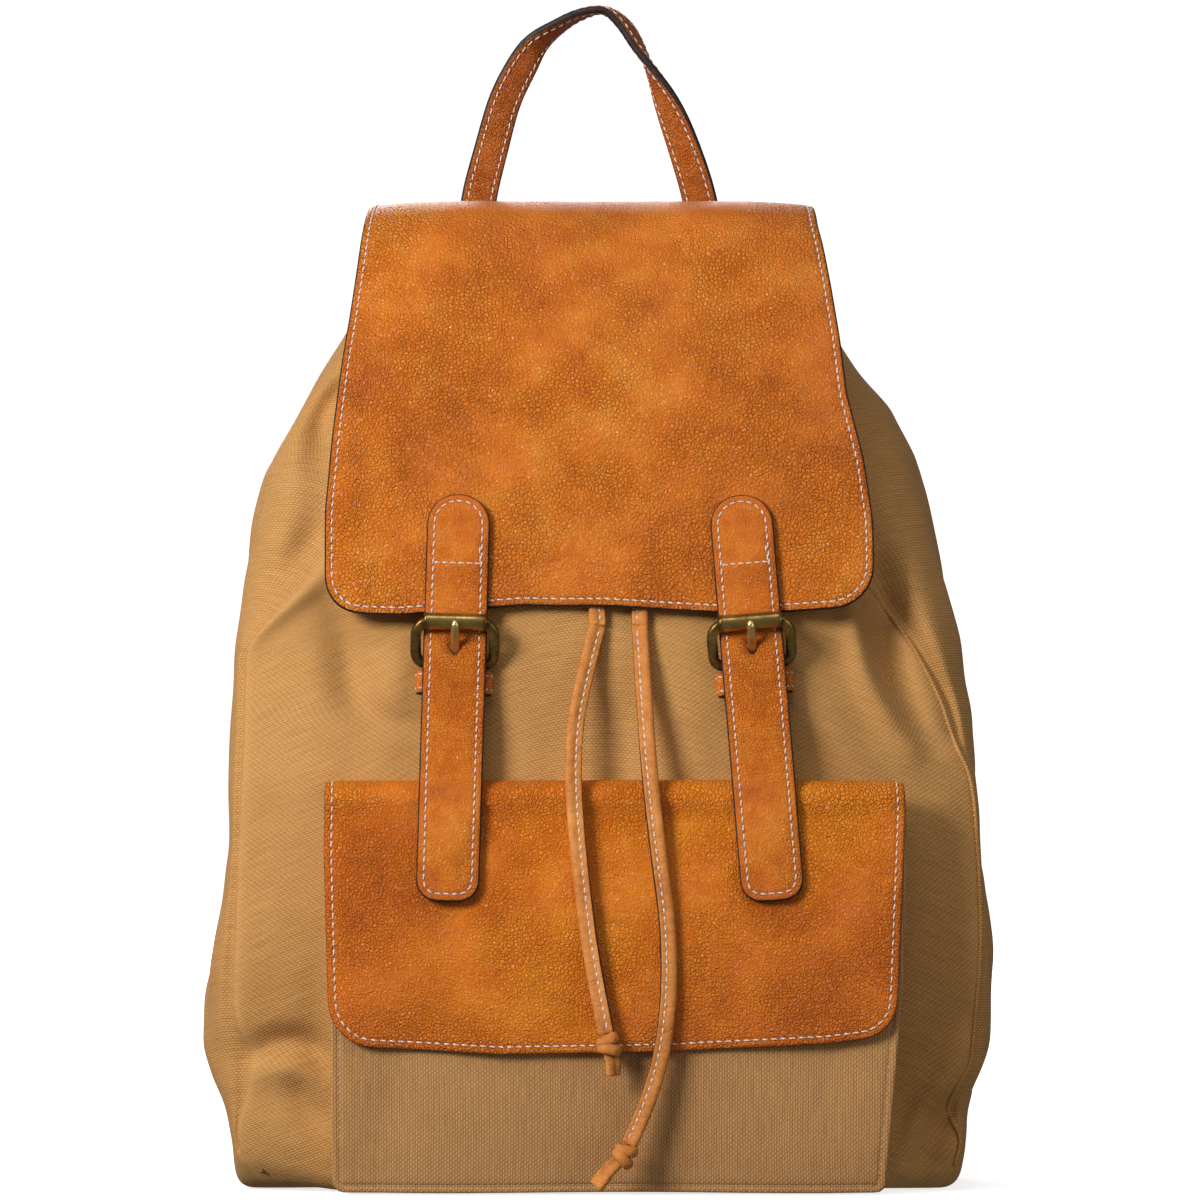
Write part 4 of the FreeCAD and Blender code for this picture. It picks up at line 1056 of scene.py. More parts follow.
def make_body():
    """The canvas of the whole bag in one mesh, then the lining and the piping that follow its shape."""
    rows = []
    # the rows above SHOULDER are drawn out to meet the mouth, whose height differs from front to back
    for inset, height in body_rows():
        section = girth(height, inset if inset < 10 else 7.5)
        if inset >= 10:
            share = 1 - (inset - 7.5) / 60
            section = [(x * share, y * share) for x, y in section]
        share = 1 - ease((inset - 2) / 12)
        line = np.array([(x, y, lifted(x, y, height, share)) for x, y in section])
        if height > SHOULDER:
            share = (height - SHOULDER) / (TOP_ROW - SHOULDER)
            line[:, 2] = SHOULDER + (top_of(line[:, 1]) - 1.5 - SHOULDER) * share
        rows.append(line)
    rows = np.array(rows)
    tall, wide = rows.shape[:2]
    flat = rows.reshape(-1, 3)
    seams = [SIDE_COLUMNS + TURN_COLUMNS, SIDE_COLUMNS + TURN_COLUMNS + FRONT_COLUMNS]
    front_weight = np.zeros((tall, wide))
    side_weight = np.zeros((tall, wide))
    for j in range(wide):
        if seams[0] - TURN_COLUMNS <= j <= seams[1] + TURN_COLUMNS:
            reach = max(0, seams[0] - j, j - seams[1])
            front_weight[:, j] = math.cos(reach / TURN_COLUMNS * math.pi / 2) ** 0.7
        if j <= seams[0] or j >= seams[1] and j <= seams[1] + TURN_COLUMNS + SIDE_COLUMNS:
            reach = min(abs(j - seams[0]), abs(j - seams[1]))
            side_weight[:, j] = ease(reach / TURN_COLUMNS) * ease((TURN_COLUMNS + SIDE_COLUMNS - reach) / 8)
    front_weight = front_weight.ravel()
    side_weight = side_weight.ravel()
    move = np.zeros_like(flat)
    plan = flat[:, [0, 2]]
    for line, half, depth in FOLDS:
        move[:, 1] += front_weight * stroke(plan, line, half, depth * FOLD_GAIN)
    plan = flat[:, [1, 2]]
    for line, half, depth, sign in SIDE_FOLDS:
        here = side_weight * (np.sign(flat[:, 0]) == sign)
        move[:, 0] -= sign * here * stroke(plan, line, half, depth * FOLD_GAIN)
    # soft unevenness everywhere, and gathers where the drawstring closes the mouth
    rise = ease((flat[:, 2] - 14) / 30)
    broad = cloth_noise(flat, 1 / 46, 3.7)
    small = cloth_noise(flat, 1 / 17, 9.1)
    bumpy = rise * (1.5 * broad + 0.55 * small)
    move[:, 1] += np.where(flat[:, 1] < 0, 1, 0.15) * front_weight * bumpy
    move[:, 0] -= np.sign(flat[:, 0]) * side_weight * bumpy * 1.3
    column = np.tile(np.arange(wide), tall)
    gather = ease((flat[:, 2] - 318) / 40) * (0.55 + 0.45 * np.sin(column * 0.9))
    wave = np.sin(column * 1.05 + 1.2 * np.sin(column * 0.31))
    away = flat - [0, 30, 0]
    away[:, 2] = 0
    away /= np.linalg.norm(away, axis=1, keepdims=True) + 1e-6
    not_back = 1 - ease((flat[:, 1] - 30) / 25)
    move += away * (gather * wave * 2.6 * not_back)[:, None]
    out = flat + move
    out[:, 1] = np.maximum(out[:, 1], FRONT_LIMIT)
    out = out.reshape(tall, wide, 3)

    # at each seam the front panel stands proud of a shallow groove on the gusset's side
    for j, sign, gain in zip(seams, (-1, 1), (1.8, 1.0)):
        for k, amount in ((-1, 0.2), (0, 0.6), (1, -0.7), (2, -1.3), (3, -0.8)):
            out[7:, j + sign * k, 1] -= amount * gain
            out[7:, j + sign * k, 0] += sign * amount * gain * 0.5
    b = Build()
    uv_u = grid_runs(out, 1)
    middle = (seams[0] + seams[1]) // 2
    uv_u = uv_u - uv_u[:, middle:middle + 1]
    uv_v = grid_runs(rows, 0)
    uvs = [[(uv_u[i, j] * MM, uv_v[i, j] * MM) for j in range(wide)] for i in range(tall)]
    wear = np.zeros((tall, wide))
    for j in seams:
        wear[:, j] = 0.8
        wear[:, j - 1] = wear[:, j + 1] = 0.25
    wear[3:7] += 0.3
    b.grid(out, uvs, wear=wear)
    # close the loop at the back corner with its own column so that the weave doesn't stretch
    last = [[tuple(out[i, -1]), tuple(out[i, 0])] for i in range(tall)]
    span = np.linalg.norm(out[:, 0] - out[:, -1], axis=1)
    b.grid(last, [[(uv_u[i, -1] * MM, uv_v[i, 0] * MM), ((uv_u[i, -1] + span[i]) * MM, uv_v[i, 0] * MM)]
                  for i in range(tall)])
    b.faces.append(tuple(range(wide)))
    b.materials.append(0)
    # the rolled hem at the mouth, turned down inside
    top = out[-1]
    inwards = np.array([0, 30, 0]) - top
    inwards[:, 2] = 0
    inwards = unit(inwards)
    hem = [top]
    for away, up in ((0.2, 1.0), (0.9, 1.9), (2.0, 2.2), (3.1, 1.7), (3.7, 0.6), (3.9, -2.0), (3.9, -10),
                     (3.8, -20)):
        hem.append(top + inwards * away + [0, 0, up])
    b.grid(hem, [[(uv_u[-1, j] * MM, (397 + 3 * i) * MM) for j in range(wide)] for i in range(len(hem))],
           closed=True)
    body = b.make("canvas_body", [CANVAS])
    weld(body)
    make_lining(hem[-2], out, rows, uv_u[60])
    make_piping(out[6:, seams[1]])
    return body


def make_lining(first, out, rows, uv_u):
    """The lining, a few mm inside the canvas, from the hem down and across the base."""
    tall, wide = out.shape[:2]
    lining = [first]
    normal = np.cross(np.gradient(out, axis=0), np.gradient(out, axis=1))
    normal /= np.linalg.norm(normal, axis=2, keepdims=True) + 1e-9
    normal *= np.sign(np.median((normal * (out - [0, 10, 200])).sum(2)))
    inset_by = 3.9 + 2.6 * ease((374 - rows[:, :1, 2:3]) / 60)
    inner = out - normal * inset_by
    for i in range(tall - 9, 6, -2):
        lining.append(inner[i])
    lowest = lining[-1]
    for share in (0.97, 0.8, 0.5, 0.1):
        ring = lowest * [share, share, 1]
        ring[:, 2] = 7.2 + 0.6 * cloth_noise(ring, 1 / 30, 5.5)
        lining.append(ring)
    uv_v = grid_runs(np.array(lining), 0)
    b = Build()
    b.grid(lining, [[(uv_u[j] * MM, uv_v[i, j] * MM) for j in range(wide)] for i in range(len(lining))],
           closed=True)
    settle(b.make("lining_inside", [LINING]), "bag", "lining", "lining")


def make_piping(seam):
    """The covered cord that shows along the right-hand seam between the front and the gusset."""
    outward = np.array((0.55, -0.83, 0))
    line = catmull(seam + outward * 0.1, 1.6)
    across, out = frames_along(line, outward)
    b = Build()
    sweep(b, line, ring_points(0.8, 0.8, 9), across, out)
    settle(b.make("piping_right", [CANVAS]), "bag", "canvas")


def weld(made):
    """Join the points that lie on each other."""
    work = bmesh.new()
    work.from_mesh(made.data)
    bmesh.ops.remove_doubles(work, verts=work.verts, dist=1e-5)
    work.to_mesh(made.data)
    work.free()
    made.data.update()


body = make_body()
divide = body.modifiers.new("smooth", "SUBSURF")
divide.levels = 1
divide.render_levels = 1
settle(body, "bag", "canvas", "front_panel", "back_panel", "gusset_left", "gusset_right", "base_panel",
       "mouth_hem")


# ---- the stage and lights

def make_stage():
    """A white paper floor that turns up into a wall all the way round, far behind every camera."""
    t = Tree("paper_sweep")
    where = t.coordinates(False)
    away = t.add("VectorMath", {0: where}, operation="LENGTH").outputs["Value"]
    t.set(Base_Color=(0.9, 0.9, 0.9, 1), Roughness=0.9, Specular_IOR_Level=0.1,
          Emission_Color=(1, 1, 1, 1), Emission_Strength=t.level(away, 0.9, 3.0, 0.75, 1.0))
    t.set(Normal=t.bump(t.noise(where, 300, 2), 0.0003, 0.2))
    turn = np.linspace(0, TURN, 73)
    flat, bend, high = 9.0, 1.6, 14.0
    curve = [(flat + bend * math.sin(a), bend - bend * math.cos(a))
             for a in np.linspace(0.1, math.pi / 2, 12)]
    parts = {"paper_floor": [(0.002, 0), (2.5, 0), (flat, 0)],
             "paper_wall": [(flat, 0)] + curve + [(flat + bend, high)]}
    for name, profile_line in parts.items():
        b = Build()
        b.grid([[(r / MM * math.cos(a), r / MM * math.sin(a), z / MM) for a in turn]
                for r, z in profile_line])
        made = b.make(name, [t.material])
        made.visible_diffuse = False
        made.visible_glossy = False
        made.visible_shadow = name == "paper_floor"


def area(name, at, towards, size, power, colour=(1, 1, 1)):
    """A rectangular light that faces a point."""
    data = bpy.data.lights.new(name, "AREA")
    data.shape = "RECTANGLE"
    data.size, data.size_y = size
    data.energy = power
    data.color = colour
    made = bpy.data.objects.new(name, data)
    made.location = at
    made.rotation_euler = (Vector(towards) - Vector(at)).to_track_quat("-Z", "Y").to_euler()
    bpy.context.scene.collection.objects.link(made)


def make_lights():
    area("key", (-1.35, -1.45, 1.05), (0, 0, 0.22), (0.7, 0.7), 45, (1, 0.985, 0.965))
    area("fill", (2.2, -2.0, 0.6), (0, 0, 0.2), (1.6, 1.6), 14, (0.97, 0.98, 1))
    area("top", (-0.25, -1.1, 1.9), (0, 0, 0.25), (1.2, 0.8), 8)
    area("back", (-0.5, 2.7, 1.3), (0, 0, 0.2), (1.4, 1.4), 26)
    world = bpy.data.worlds.new("studio")
    world.use_nodes = True
    sky = world.node_tree.nodes["Background"].inputs
    sky[0].default_value = (1, 1, 1, 1)
    sky[1].default_value = 0.14
    bpy.context.scene.world = world
    bpy.context.scene.view_settings.view_transform = "Standard"


make_stage()
make_lights()


# ---- sheets on curved profiles

class Run:
    """A surface that follows a (y, z) line, the same at every x; s is the length along the line."""

    def __init__(self, line, extra=None):
        self.line = np.array(line, float)
        self.at = lengths(self.line)
        along = along_of(self.line)
        self.normal = np.stack([along[:, 1], -along[:, 0]], axis=1)
        self.extra = extra
        self.long = self.at[-1]

    def __call__(self, a, s, h):
        a, s, h = np.asarray(a, float), np.asarray(s, float), np.asarray(h, float)
        if self.extra is not None:
            h = h + self.extra(a, s)
        y = np.interp(s, self.at, self.line[:, 0]) + h * np.interp(s, self.at, self.normal[:, 0])
        z = np.interp(s, self.at, self.line[:, 1]) + h * np.interp(s, self.at, self.normal[:, 1])
        return np.stack([a, y, z], axis=1)

    def at_height(self, z):
        """The length along the line where it last crosses a height."""
        for i in range(len(self.line) - 1, 0, -1):
            z0, z1 = self.line[i - 1, 1], self.line[i, 1]
            if (z0 - z) * (z1 - z) <= 0 and z0 != z1:
                return self.at[i - 1] + (z0 - z) / (z0 - z1) * (self.at[i] - self.at[i - 1])
        return self.long


# ---- the front pocket

def pocket_face(height, off):
    """The pocket's bulging front: y at a height, `off` in front of the canvas."""
    return 185.8 - np.sqrt((267.8 + off) ** 2 - (np.asarray(height, float) - 72.5) ** 2)


def make_pocket():
    run = Run([(float(pocket_face(h, -1.0)), h) for h in np.linspace(148.5, 1.0, 100)])
    long = run.long

    def sag(a, s):
        side = np.minimum(a + 107, 118 - a)
        soft = 0.8 * np.sin(a / 23.0 + 1.1) * np.sin(s / 31.0) * ease(side / 30)
        dent = -1.2 * np.exp(-((a + 84) / 9) ** 2 - ((s - 118) / 22) ** 2)
        dent = dent - 1.2 * np.exp(-((a - 92) / 10) ** 2 - ((s - 104) / 26) ** 2)
        return soft + dent

    def around(points):
        """The points in order of their angle about the pocket's middle."""
        return points[np.argsort([math.atan2(a - 5, b - 40) % TURN for a, b in points])]

    run.extra = sag
    edge = outline([(-107.6, 0, 0), (-107.3, 60, 0), (-106.6, long, 5), (113.6, long, 4), (120.4, 66, 0),
                    (122.4, 0, 0)], 2.2)
    b = Build()
    panel(b, edge, run, 2.0, cell=3.2, inset=3.1, groove=0.55, edge=0.0, materials=(0, 0, 2), turn=True)
    # side and bottom walls back to the bag
    wall = around(edge[(edge[:, 1] >= 1.0) | (edge[:, 0] <= -104) | (edge[:, 0] >= 119)])
    rows, uvs = [], []
    runs = lengths(wall)
    front = run(wall[:, 0], wall[:, 1], np.full(len(wall), -0.4))
    middle = np.array([6.0, 0, 78.0])
    lean = unit((middle - front) * [1, 0, 1])
    for share in (0.0, 0.12, 0.35, 0.65, 1.0):
        row = front + lean * (1.1 * math.sin(math.pi * share) + 0.5 * share)
        row[:, 1] = front[:, 1] + (np.maximum(-61.5, front[:, 1] + 1.5) - front[:, 1]) * share
        row[:, 2] = np.maximum(row[:, 2], 0.6)
        rows.append(row)
        uvs.append([(share * 0.012, r * MM) for r in runs])
    b.grid(rows, uvs)
    b.grid([row + [0, 0.2, 0] + (middle - row) * [0.012, 0, 0.012] for row in rows[::-1]], uvs, 2)
    line = inset_path(edge, 3.1)
    line = around(line[line[:, 1] > 2.0])
    keep = line[:, 1] < long - 2.5
    left, right = line[keep & (line[:, 0] < 0)], line[keep & (line[:, 0] > 0)]
    for part in (left, right):
        part = part[np.argsort(part[:, 1])]
        stitches(b, part, run, pitch=3.6, long=2.2, radius=0.26, lift=0.45, material=1)
    stitches(b, [(-103, 9), (118, 9)], run, pitch=3.6, long=2.4, radius=0.26, lift=0.9, material=1)
    settle(b.make("front_pocket", [CANVAS_POCKET, THREAD_TAN, LINING]), "bag", "canvas", "pocket_body")


def make_pocket_flap():
    line = [(-60.2, 157.5), (-61.0, 160.5), (-63.4, 162.9), (-66.6, 163.4), (-70.0, 162.0), (-72.8, 158.8)]
    line += [(float(pocket_face(h, 2.4)), h) for h in (152, 144, 132, 118, 100, 82, 64, 52)]
    line = catmull(line, 1.0)

    def sag(a, s):
        broad = 0.7 * np.sin(a / 30.0 + 0.6) * np.sin(s / 40.0)
        low = ease((s - 70) / 40)
        lift = low * (0.8 * np.sin(a / 19.0 + 2.0) + 0.5 * np.sin(a / 9.0))
        crease = -1.1 * np.exp(-((a + 60) / 5.5) ** 2) * ease((s - 14) / 10) * (1 - ease((s - 60) / 50))
        side = np.maximum(0, np.abs(a - 5.5) - 104)
        return 0.4 + broad + lift + crease - 0.006 * side ** 2
    run = Run(line, sag)
    long = run.at_height(57.2)
    edge = outline([(-109.6, 0, 2), (-109.9, 40, 0), (-108.6, long - 38, 0), (-107.5, long - 3, 30),
                    (-40, long + 0.6, 0), (30, long - 0.6, 0), (90, long - 3.6, 0), (117.8, long - 7, 32),
                    (119.5, long - 46, 0), (121.8, 24, 0), (121.0, 5, 3), (120.6, 0, 2)], 2.0, 2)
    b = Build()
    panel(b, edge, run, 2.5, cell=3.0, inset=3.0, groove=0.4, dome=0.2)
    flap = b.make("pocket_flap_leather", [FLAP, EDGE, SUEDE])
    line = inset_path(edge, 3.0)
    s = Build()
    stitches(s, open_path(line[line[:, 1] > 3.2]), run, pitch=3.6, long=2.7, radius=0.36, lift=1.2)
    sewn = s.make("pocket_flap_stitches", [THREAD])
    for piece in (flap, sewn):
        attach(piece, "pocket_cover")
    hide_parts("pocket_flap")


# ---- the lid

def lid_extra(a, s):
    """Waves of the soft lid: droop past the mouth's edges, humps over the handle's feet, wavy hem."""
    crown = 1 - ease((s - 40) / 30)
    turn = np.exp(-((s - 66) / 16) ** 2)
    droop = 0.0035 * np.maximum(0, np.abs(a + 3) - 58) ** 2 * (1 - ease((s - 84) / 60))
    humps = np.exp(-((a + 52) / 13) ** 2) + np.exp(-((a - 44) / 13) ** 2)
    humps = 2.2 * humps * ease((s - 8) / 20) * turn
    valley = -1.3 * np.exp(-((a - 12) / 30) ** 2) * turn
    broad = 1.2 * np.sin(a / 27.0 + s / 60.0 + 0.8) * np.sin(s / 34.0 + 0.4) * ease((s - 70) / 40)
    hem = ease((s - 190) / 40) * (1.0 * np.sin(a / 15.0 + 0.5) + 0.5 * np.sin(a / 7.0 + 1.0))
    dent = -2.4 * np.exp(-(((a - 52) / 26) ** 2 + ((s - 112) / 20) ** 2))
    dent = dent + 1.5 * np.exp(-(((a + 6) / 34) ** 2 + ((s - 128) / 22) ** 2))
    dent = dent - 1.0 * np.exp(-(((a + 40 + (s - 150) * 0.25) / 9) ** 2 + ((s - 165) / 44) ** 2))
    fold = 0.9 * np.exp(-((a + 103 - (s - 150) * 0.06) / 5) ** 2) * ease((s - 100) / 60)
    return -droop * (1 - 0.5 * crown) + humps + valley + broad + hem + dent * ease((s - 80) / 20) + fold


def make_lid():
    flap = [on_front(h, 6.6) for h in (300, 290, 280, 270, 260, 250, 240, 231, 224)]
    line = [(64.5, 390.6), (58, 394.2), (46, 397.0), (32, 398.2), (18, 397.2), (8, 394.0), (0.6, 388.6),
            (-7.0, 379), (-14.6, 366.0), (-22.5, 350.4), (-29.6, 334.0), (-34.8, 318.0)]
    line = catmull(line + [tuple(p) for p in flap], 1.0)
    run = Run(line, lid_extra)
    at = run.at_height
    bend = at(388.6)
    edge = outline([(-82, 0, 3), (-93.5, bend - 30, 0), (-96.6, bend, 0), (-98.2, at(376), 0),
                    (-101.2, at(352), 0), (-104.4, at(329), 0), (-107.8, at(301), 0),
                    (-110.4, at(272), 0), (-110.2, at(231.5), 31),
                    (-80, at(230.2), 0), (-60, at(232.2), 0), (-30, at(234.9), 0), (0, at(234.4), 0),
                    (22, at(233.2), 0), (48, at(231.6), 0), (72, at(232.0), 0), (110, at(233.6), 29),
                    (109.6, at(268), 0), (106.2, at(293), 0), (99.4, at(320), 0), (96.6, at(345), 0),
                    (93.6, at(366), 0), (90.4, at(384), 0), (88.6, bend - 4, 0), (87, bend - 30, 0),
                    (82, 0, 3)], 2.0, 2)
    b = Build()
    panel(b, edge, run, 2.8, cell=2.8, inset=2.9, groove=0.45, dome=0.25, edge=0.7)
    lid = b.make("lid_leather", [LID, EDGE, SUEDE])
    s = Build()
    stitches(s, inset_path(edge, 2.9), run, pitch=3.6, long=2.8, radius=0.36, lift=1.33, closed=True)
    sewn = s.make("lid_stitches", [THREAD])
    for piece in (lid, sewn):
        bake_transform(piece)
    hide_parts("lid_crown", "lid_flap")


# ---- straps and buckles

# the closure buckles: the height of the lower bar, how far it and the roller stand in front of the
# canvas, and how far the roller is above the bar
BAR_HEIGHT, BAR_OFF, ROLLER_OFF, ROLLER_UP = 210.4, 4.7, 14.4, 15.4
TIP = (0.97, 0.88, 0.68, 0.34)


class Frame:
    """A strap's own frame: x across, s up along the strap, off away from the bag."""

    def __init__(self, matrix, facing):
        self.matrix = np.array(matrix)
        self.facing = facing

    def points(self, x, s, off):
        flat = np.stack([np.asarray(x, float), self.facing * np.asarray(off, float), np.asarray(s, float),
                         np.ones(len(np.atleast_1d(x)))], axis=1)
        return (flat @ self.matrix.T)[:, :3]

    def sheet(self, line, extra=None):
        """A surface following an (s, off) line, top first; b is the length down along it."""
        run = Run([(self.facing * off, s) for s, off in line])
        if self.facing * run.normal[len(run.normal) // 2, 0] < 0:
            run.normal = -run.normal

        def place(a, b, h):
            h = np.asarray(h, float) + (extra(a, b) if extra is not None else 0)
            flat = run(a, b, h)
            return self.points(flat[:, 0], flat[:, 2], self.facing * flat[:, 1])
        place.run = run
        return place


def front_frame(side):
    """The frame of a closure strap, at its buckle's lower bar."""
    x, lean = STRAPS[side]
    return Frame(Matrix.Translation((x, *on_front(BAR_HEIGHT, 0))) @ Matrix.Rotation(-LEAN, 4, "X")
                 @ Matrix.Rotation(math.radians(lean), 4, "Y"), -1)


def back_frame(side):
    """The frame of a shoulder strap, at its sewn top."""
    sign = -1 if side == "left" else 1
    return Frame(Matrix.Translation((sign * 28, 62, 333))
                 @ Matrix.Rotation(math.radians(-sign * 15), 4, "Y"), 1)


def axes_of(place):
    """Unit vectors across, up and out of a buckle's plane."""
    spots = place(*np.array([(0, 1, 0, 0), (0, 0, 1, 0), (0, 0, 0, 1)], float))
    return spots[1:] - spots[0]


def cast_frame(name, place, loop, rise, section, scale):
    """A cast brass loop; place(x, u, out) gives points from the buckle's own plane."""
    across, up, out = axes_of(place)
    along = unit(np.roll(loop, -1, axis=0) - np.roll(loop, 1, axis=0))
    across = np.array([across * a[1] - up * a[0] for a in along])
    b = Build()
    sweep(b, place(loop[:, 0], loop[:, 1], rise), section, across, np.broadcast_to(out, across.shape), 0,
          closed=True, scale=scale)
    return b.make(name, [BRASS])


def cast_tongue(name, place, points, section, swell, taper, root):
    """A brass tongue through (u, out) points, hooked round the lower bar and pointed at the tip."""
    spine = catmull(points, 0.7)
    path = place(np.zeros(len(spine)), spine[:, 0], spine[:, 1])
    across = np.broadcast_to(axes_of(place)[0], path.shape)
    share = np.linspace(0, 1, len(path))
    size = 1.0 + swell * np.sin(np.pi * share) - taper * share
    size[-len(TIP):] *= TIP
    size[:2] *= root
    b = Build()
    sweep(b, path, section, across, np.cross(along_of(path), across), 0, scale=size)
    return b.make(name, [BRASS])


def make_strap(side):
    """A closure strap: sewn to the lid, over its buckle's roller, and free below."""
    local = front_frame(side)
    flip = 1 if side == "left" else -1
    line = catmull([(68.8, 9.7), (50, 9.6), (34, 9.5), (26, 9.3), (19, 9.1), (12, 9.4), (6, 10.2), (0, 10.6),
                    (-6, 10.4), (-14, 11.2), (-26, 12.4), (-42, 13.4), (-60, 13.6), (-80, 13.4),
                    (-98.6, 13.2)], 1.0)

    def sag(a, b):
        across = 0.15 * np.cos(a / 12.5 * math.pi / 2)
        ripple = 0.22 * np.sin(b / 3.1 + 0.7 * np.sin(a / 4.0)) * np.exp(-((b - 56) / 9) ** 2)
        ripple = ripple + 0.25 * np.sin(b / 3.6 + a / 9.0) * np.exp(-((b - 102) / 16) ** 2)
        curl = -0.5 * (a / 12.5) ** 2 * ease((b - 90) / 60)
        return across + ripple + curl + 0.35 * np.sin(b / 23.0 + flip)
    place = local.sheet(line, sag)
    long = place.run.long - 0.4
    half = 12.6
    edge = outline([(-half, 0.4, 12.2), (half, 0.4, 12.2), (half + 0.1, long * 0.36, 0), (half, long, 8.5),
                    (-half, long, 8.5), (-half - 0.1, long * 0.36, 0)], 1.5, 1)
    b = Build()
    panel(b, edge, place, 2.5, cell=2.4, inset=3.0, groove=0.4, holes=[hole_at(63.0, 1.9, 3.4, 16)], dome=0.1,
          edge=0.6)
    stitches(b, inset_path(edge, 3.0), place, pitch=3.4, long=2.6, lift=1.2, material=3, closed=True)
    # the seam across, and a few stitches sewn twice at its end
    stitches(b, [(-9.6, 28.8), (9.6, 28.8)], place, pitch=3.2, long=2.9, lift=1.28, material=3)
    stitches(b, [(9.3, 28.8), (8.7, 21.5)], place, pitch=3.3, long=2.7, radius=0.34, lift=1.3, material=3)
    made = b.make(f"strap_{side}_leather", [STRAP, *SEWN])
    top, low = local.points([0, 0], [4.0, -9.0], [9.5, 9.5])
    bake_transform(made)
    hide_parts(f"closure_strap_{side}", f"strap_tail_{side}")


def rounded_loop(half, high, low_radius, high_radius):
    """A buckle frame's middle line, a little wider at the top."""
    return outline([(-half, 0, low_radius), (half, 0, low_radius), (half + 0.3, high, high_radius),
                    (-half - 0.3, high, high_radius)], 0.8, 1)


def make_buckle(side):
    local = front_frame(side)
    tilt = math.atan2(ROLLER_OFF - BAR_OFF, ROLLER_UP)
    long = math.hypot(ROLLER_OFF - BAR_OFF, ROLLER_UP)

    def place(x, u, out):
        """Buckle plane: u up the frame from its lower bar, out away from the bag."""
        u, out = np.asarray(u, float), np.asarray(out, float)
        s = u * math.cos(tilt) - out * math.sin(tilt)
        off = BAR_OFF + u * math.sin(tilt) + out * math.cos(tilt)
        return local.points(x, s, off)

    # the frame: a cast rounded rectangle, its sides swelling towards the top
    loop = rounded_loop(15.6, long, 4.6, 6.4)
    scale = []
    for x, u in loop:
        in_roller = ease((12.6 - abs(x)) / 1.0) * ease((u - long + 3) / 2)
        in_bar = ease((11.5 - abs(x)) / 1.5) * ease((3 - u) / 2)
        scale.append(1.0 - 0.34 * in_roller - 0.30 * in_bar)
    made = cast_frame(f"buckle_{side}_frame", place, loop, 0.35 * np.sin(np.pi * loop[:, 1] / long),
                      ring_points(2.15, 1.75, 20, (0.8, 0.75)), scale)
    settle(made, "lid", "brass", f"buckle_frame_{side}")

    # the roller: a rolled sleeve with rounded lips and its seam
    b = Build()
    ends = [(1.55, -12.5), (2.9, -12.62), (3.28, -12.35), (3.4, -11.7)]
    rows = ends + [(3.4, x) for x in np.linspace(-10.5, 10.5, 12)] + [(r, -x) for r, x in reversed(ends)]
    count = 36
    grid = []
    for radius, x in rows:
        ring = []
        for k in range(count):
            a = TURN * k / count
            flat = radius - 0.16 * math.exp(-((k - 9.5) / 0.7) ** 2) - 0.05 * math.cos(4 * a)
            ring.append(place([x], [long + flat * math.sin(a)], [flat * math.cos(a)])[0])
        grid.append(ring)
    b.grid(grid, closed=True)
    settle(b.make(f"buckle_{side}_roller", [BRASS]), f"roller_{side}", "brass", f"buckle_roller_{side}")

    # the tongue: hooked round the lower bar, out through the strap's hole, its tip on the roller
    points = [(0.2, -2.3), (-1.9, -1.3), (-2.2, 0.6), (-0.4, 2.0), (2.4, 1.7), (5.5, 1.4), (8.5, 2.1),
              (12, 3.6), (15.2, 4.75), (18.2, 5.15), (20.4, 4.7)]
    made = cast_tongue(f"buckle_{side}_tongue", place, points, ring_points(1.75, 1.25, 16), 0.22, 0.18,
                       (0.6, 0.9))
    settle(made, f"tongue_{side}", "brass", f"buckle_tongue_{side}")


def make_chape(side):
    """The leather folded round the buckle's lower bar: a front and a back layer and the nose between."""
    local = front_frame(side)
    b = Build()
    half = 12.4
    front = local.sheet(catmull([(2.6, 6.2), (0.5, 7.0), (-2.5, 6.7), (-7, 5.6), (-14, 5.1), (-26, 5.0),
                                 (-40.5, 5.0)], 0.8))
    edge = tab(half, front.run.long, 1, 12.0, 1.4)
    notch = tab(2.6, 6.5, 0.8, 2.4, 0.9, 0, 0.6)
    panel(b, edge, front, 2.2, cell=2.4, inset=2.8, holes=[notch], edge=0.6)
    path = inset_path(edge, 2.8)
    stitches(b, open_path(path[path[:, 1] > 9]), front, pitch=3.2, long=2.4, radius=0.32, lift=1.0,
             material=3)
    rear = local.sheet(catmull([(2.6, 3.4), (0.4, 2.6), (-3, 2.9), (-8, 3.5), (-20, 3.7), (-40.5, 3.7)], 0.8))
    edge = tab(half, rear.run.long, 1, 12.0, 1.4)
    panel(b, edge, rear, 1.0, groove=0, edge=0.6, materials=(2, 1, 2))
    nose = local.sheet(catmull([(2.6, 6.2), (3.5, 4.8), (2.6, 3.4)], 0.5))
    long = nose.run.long
    edge = outline([(-half, 0, 0.4), (-2.7, 0, 0.4), (-2.7, long, 0.4), (-half, long, 0.4)], 0.8)
    for part in (edge * [-1, 1], (edge * [1, 1])[::-1]):
        panel(b, part, nose, 1.6, cell=1.4, inset=2.0, groove=0, edge=0.3)
    made = b.make(f"chape_{side}_leather", [STRAP, *SEWN])
    settle(made, "lid", "leather", f"buckle_chape_{side}")


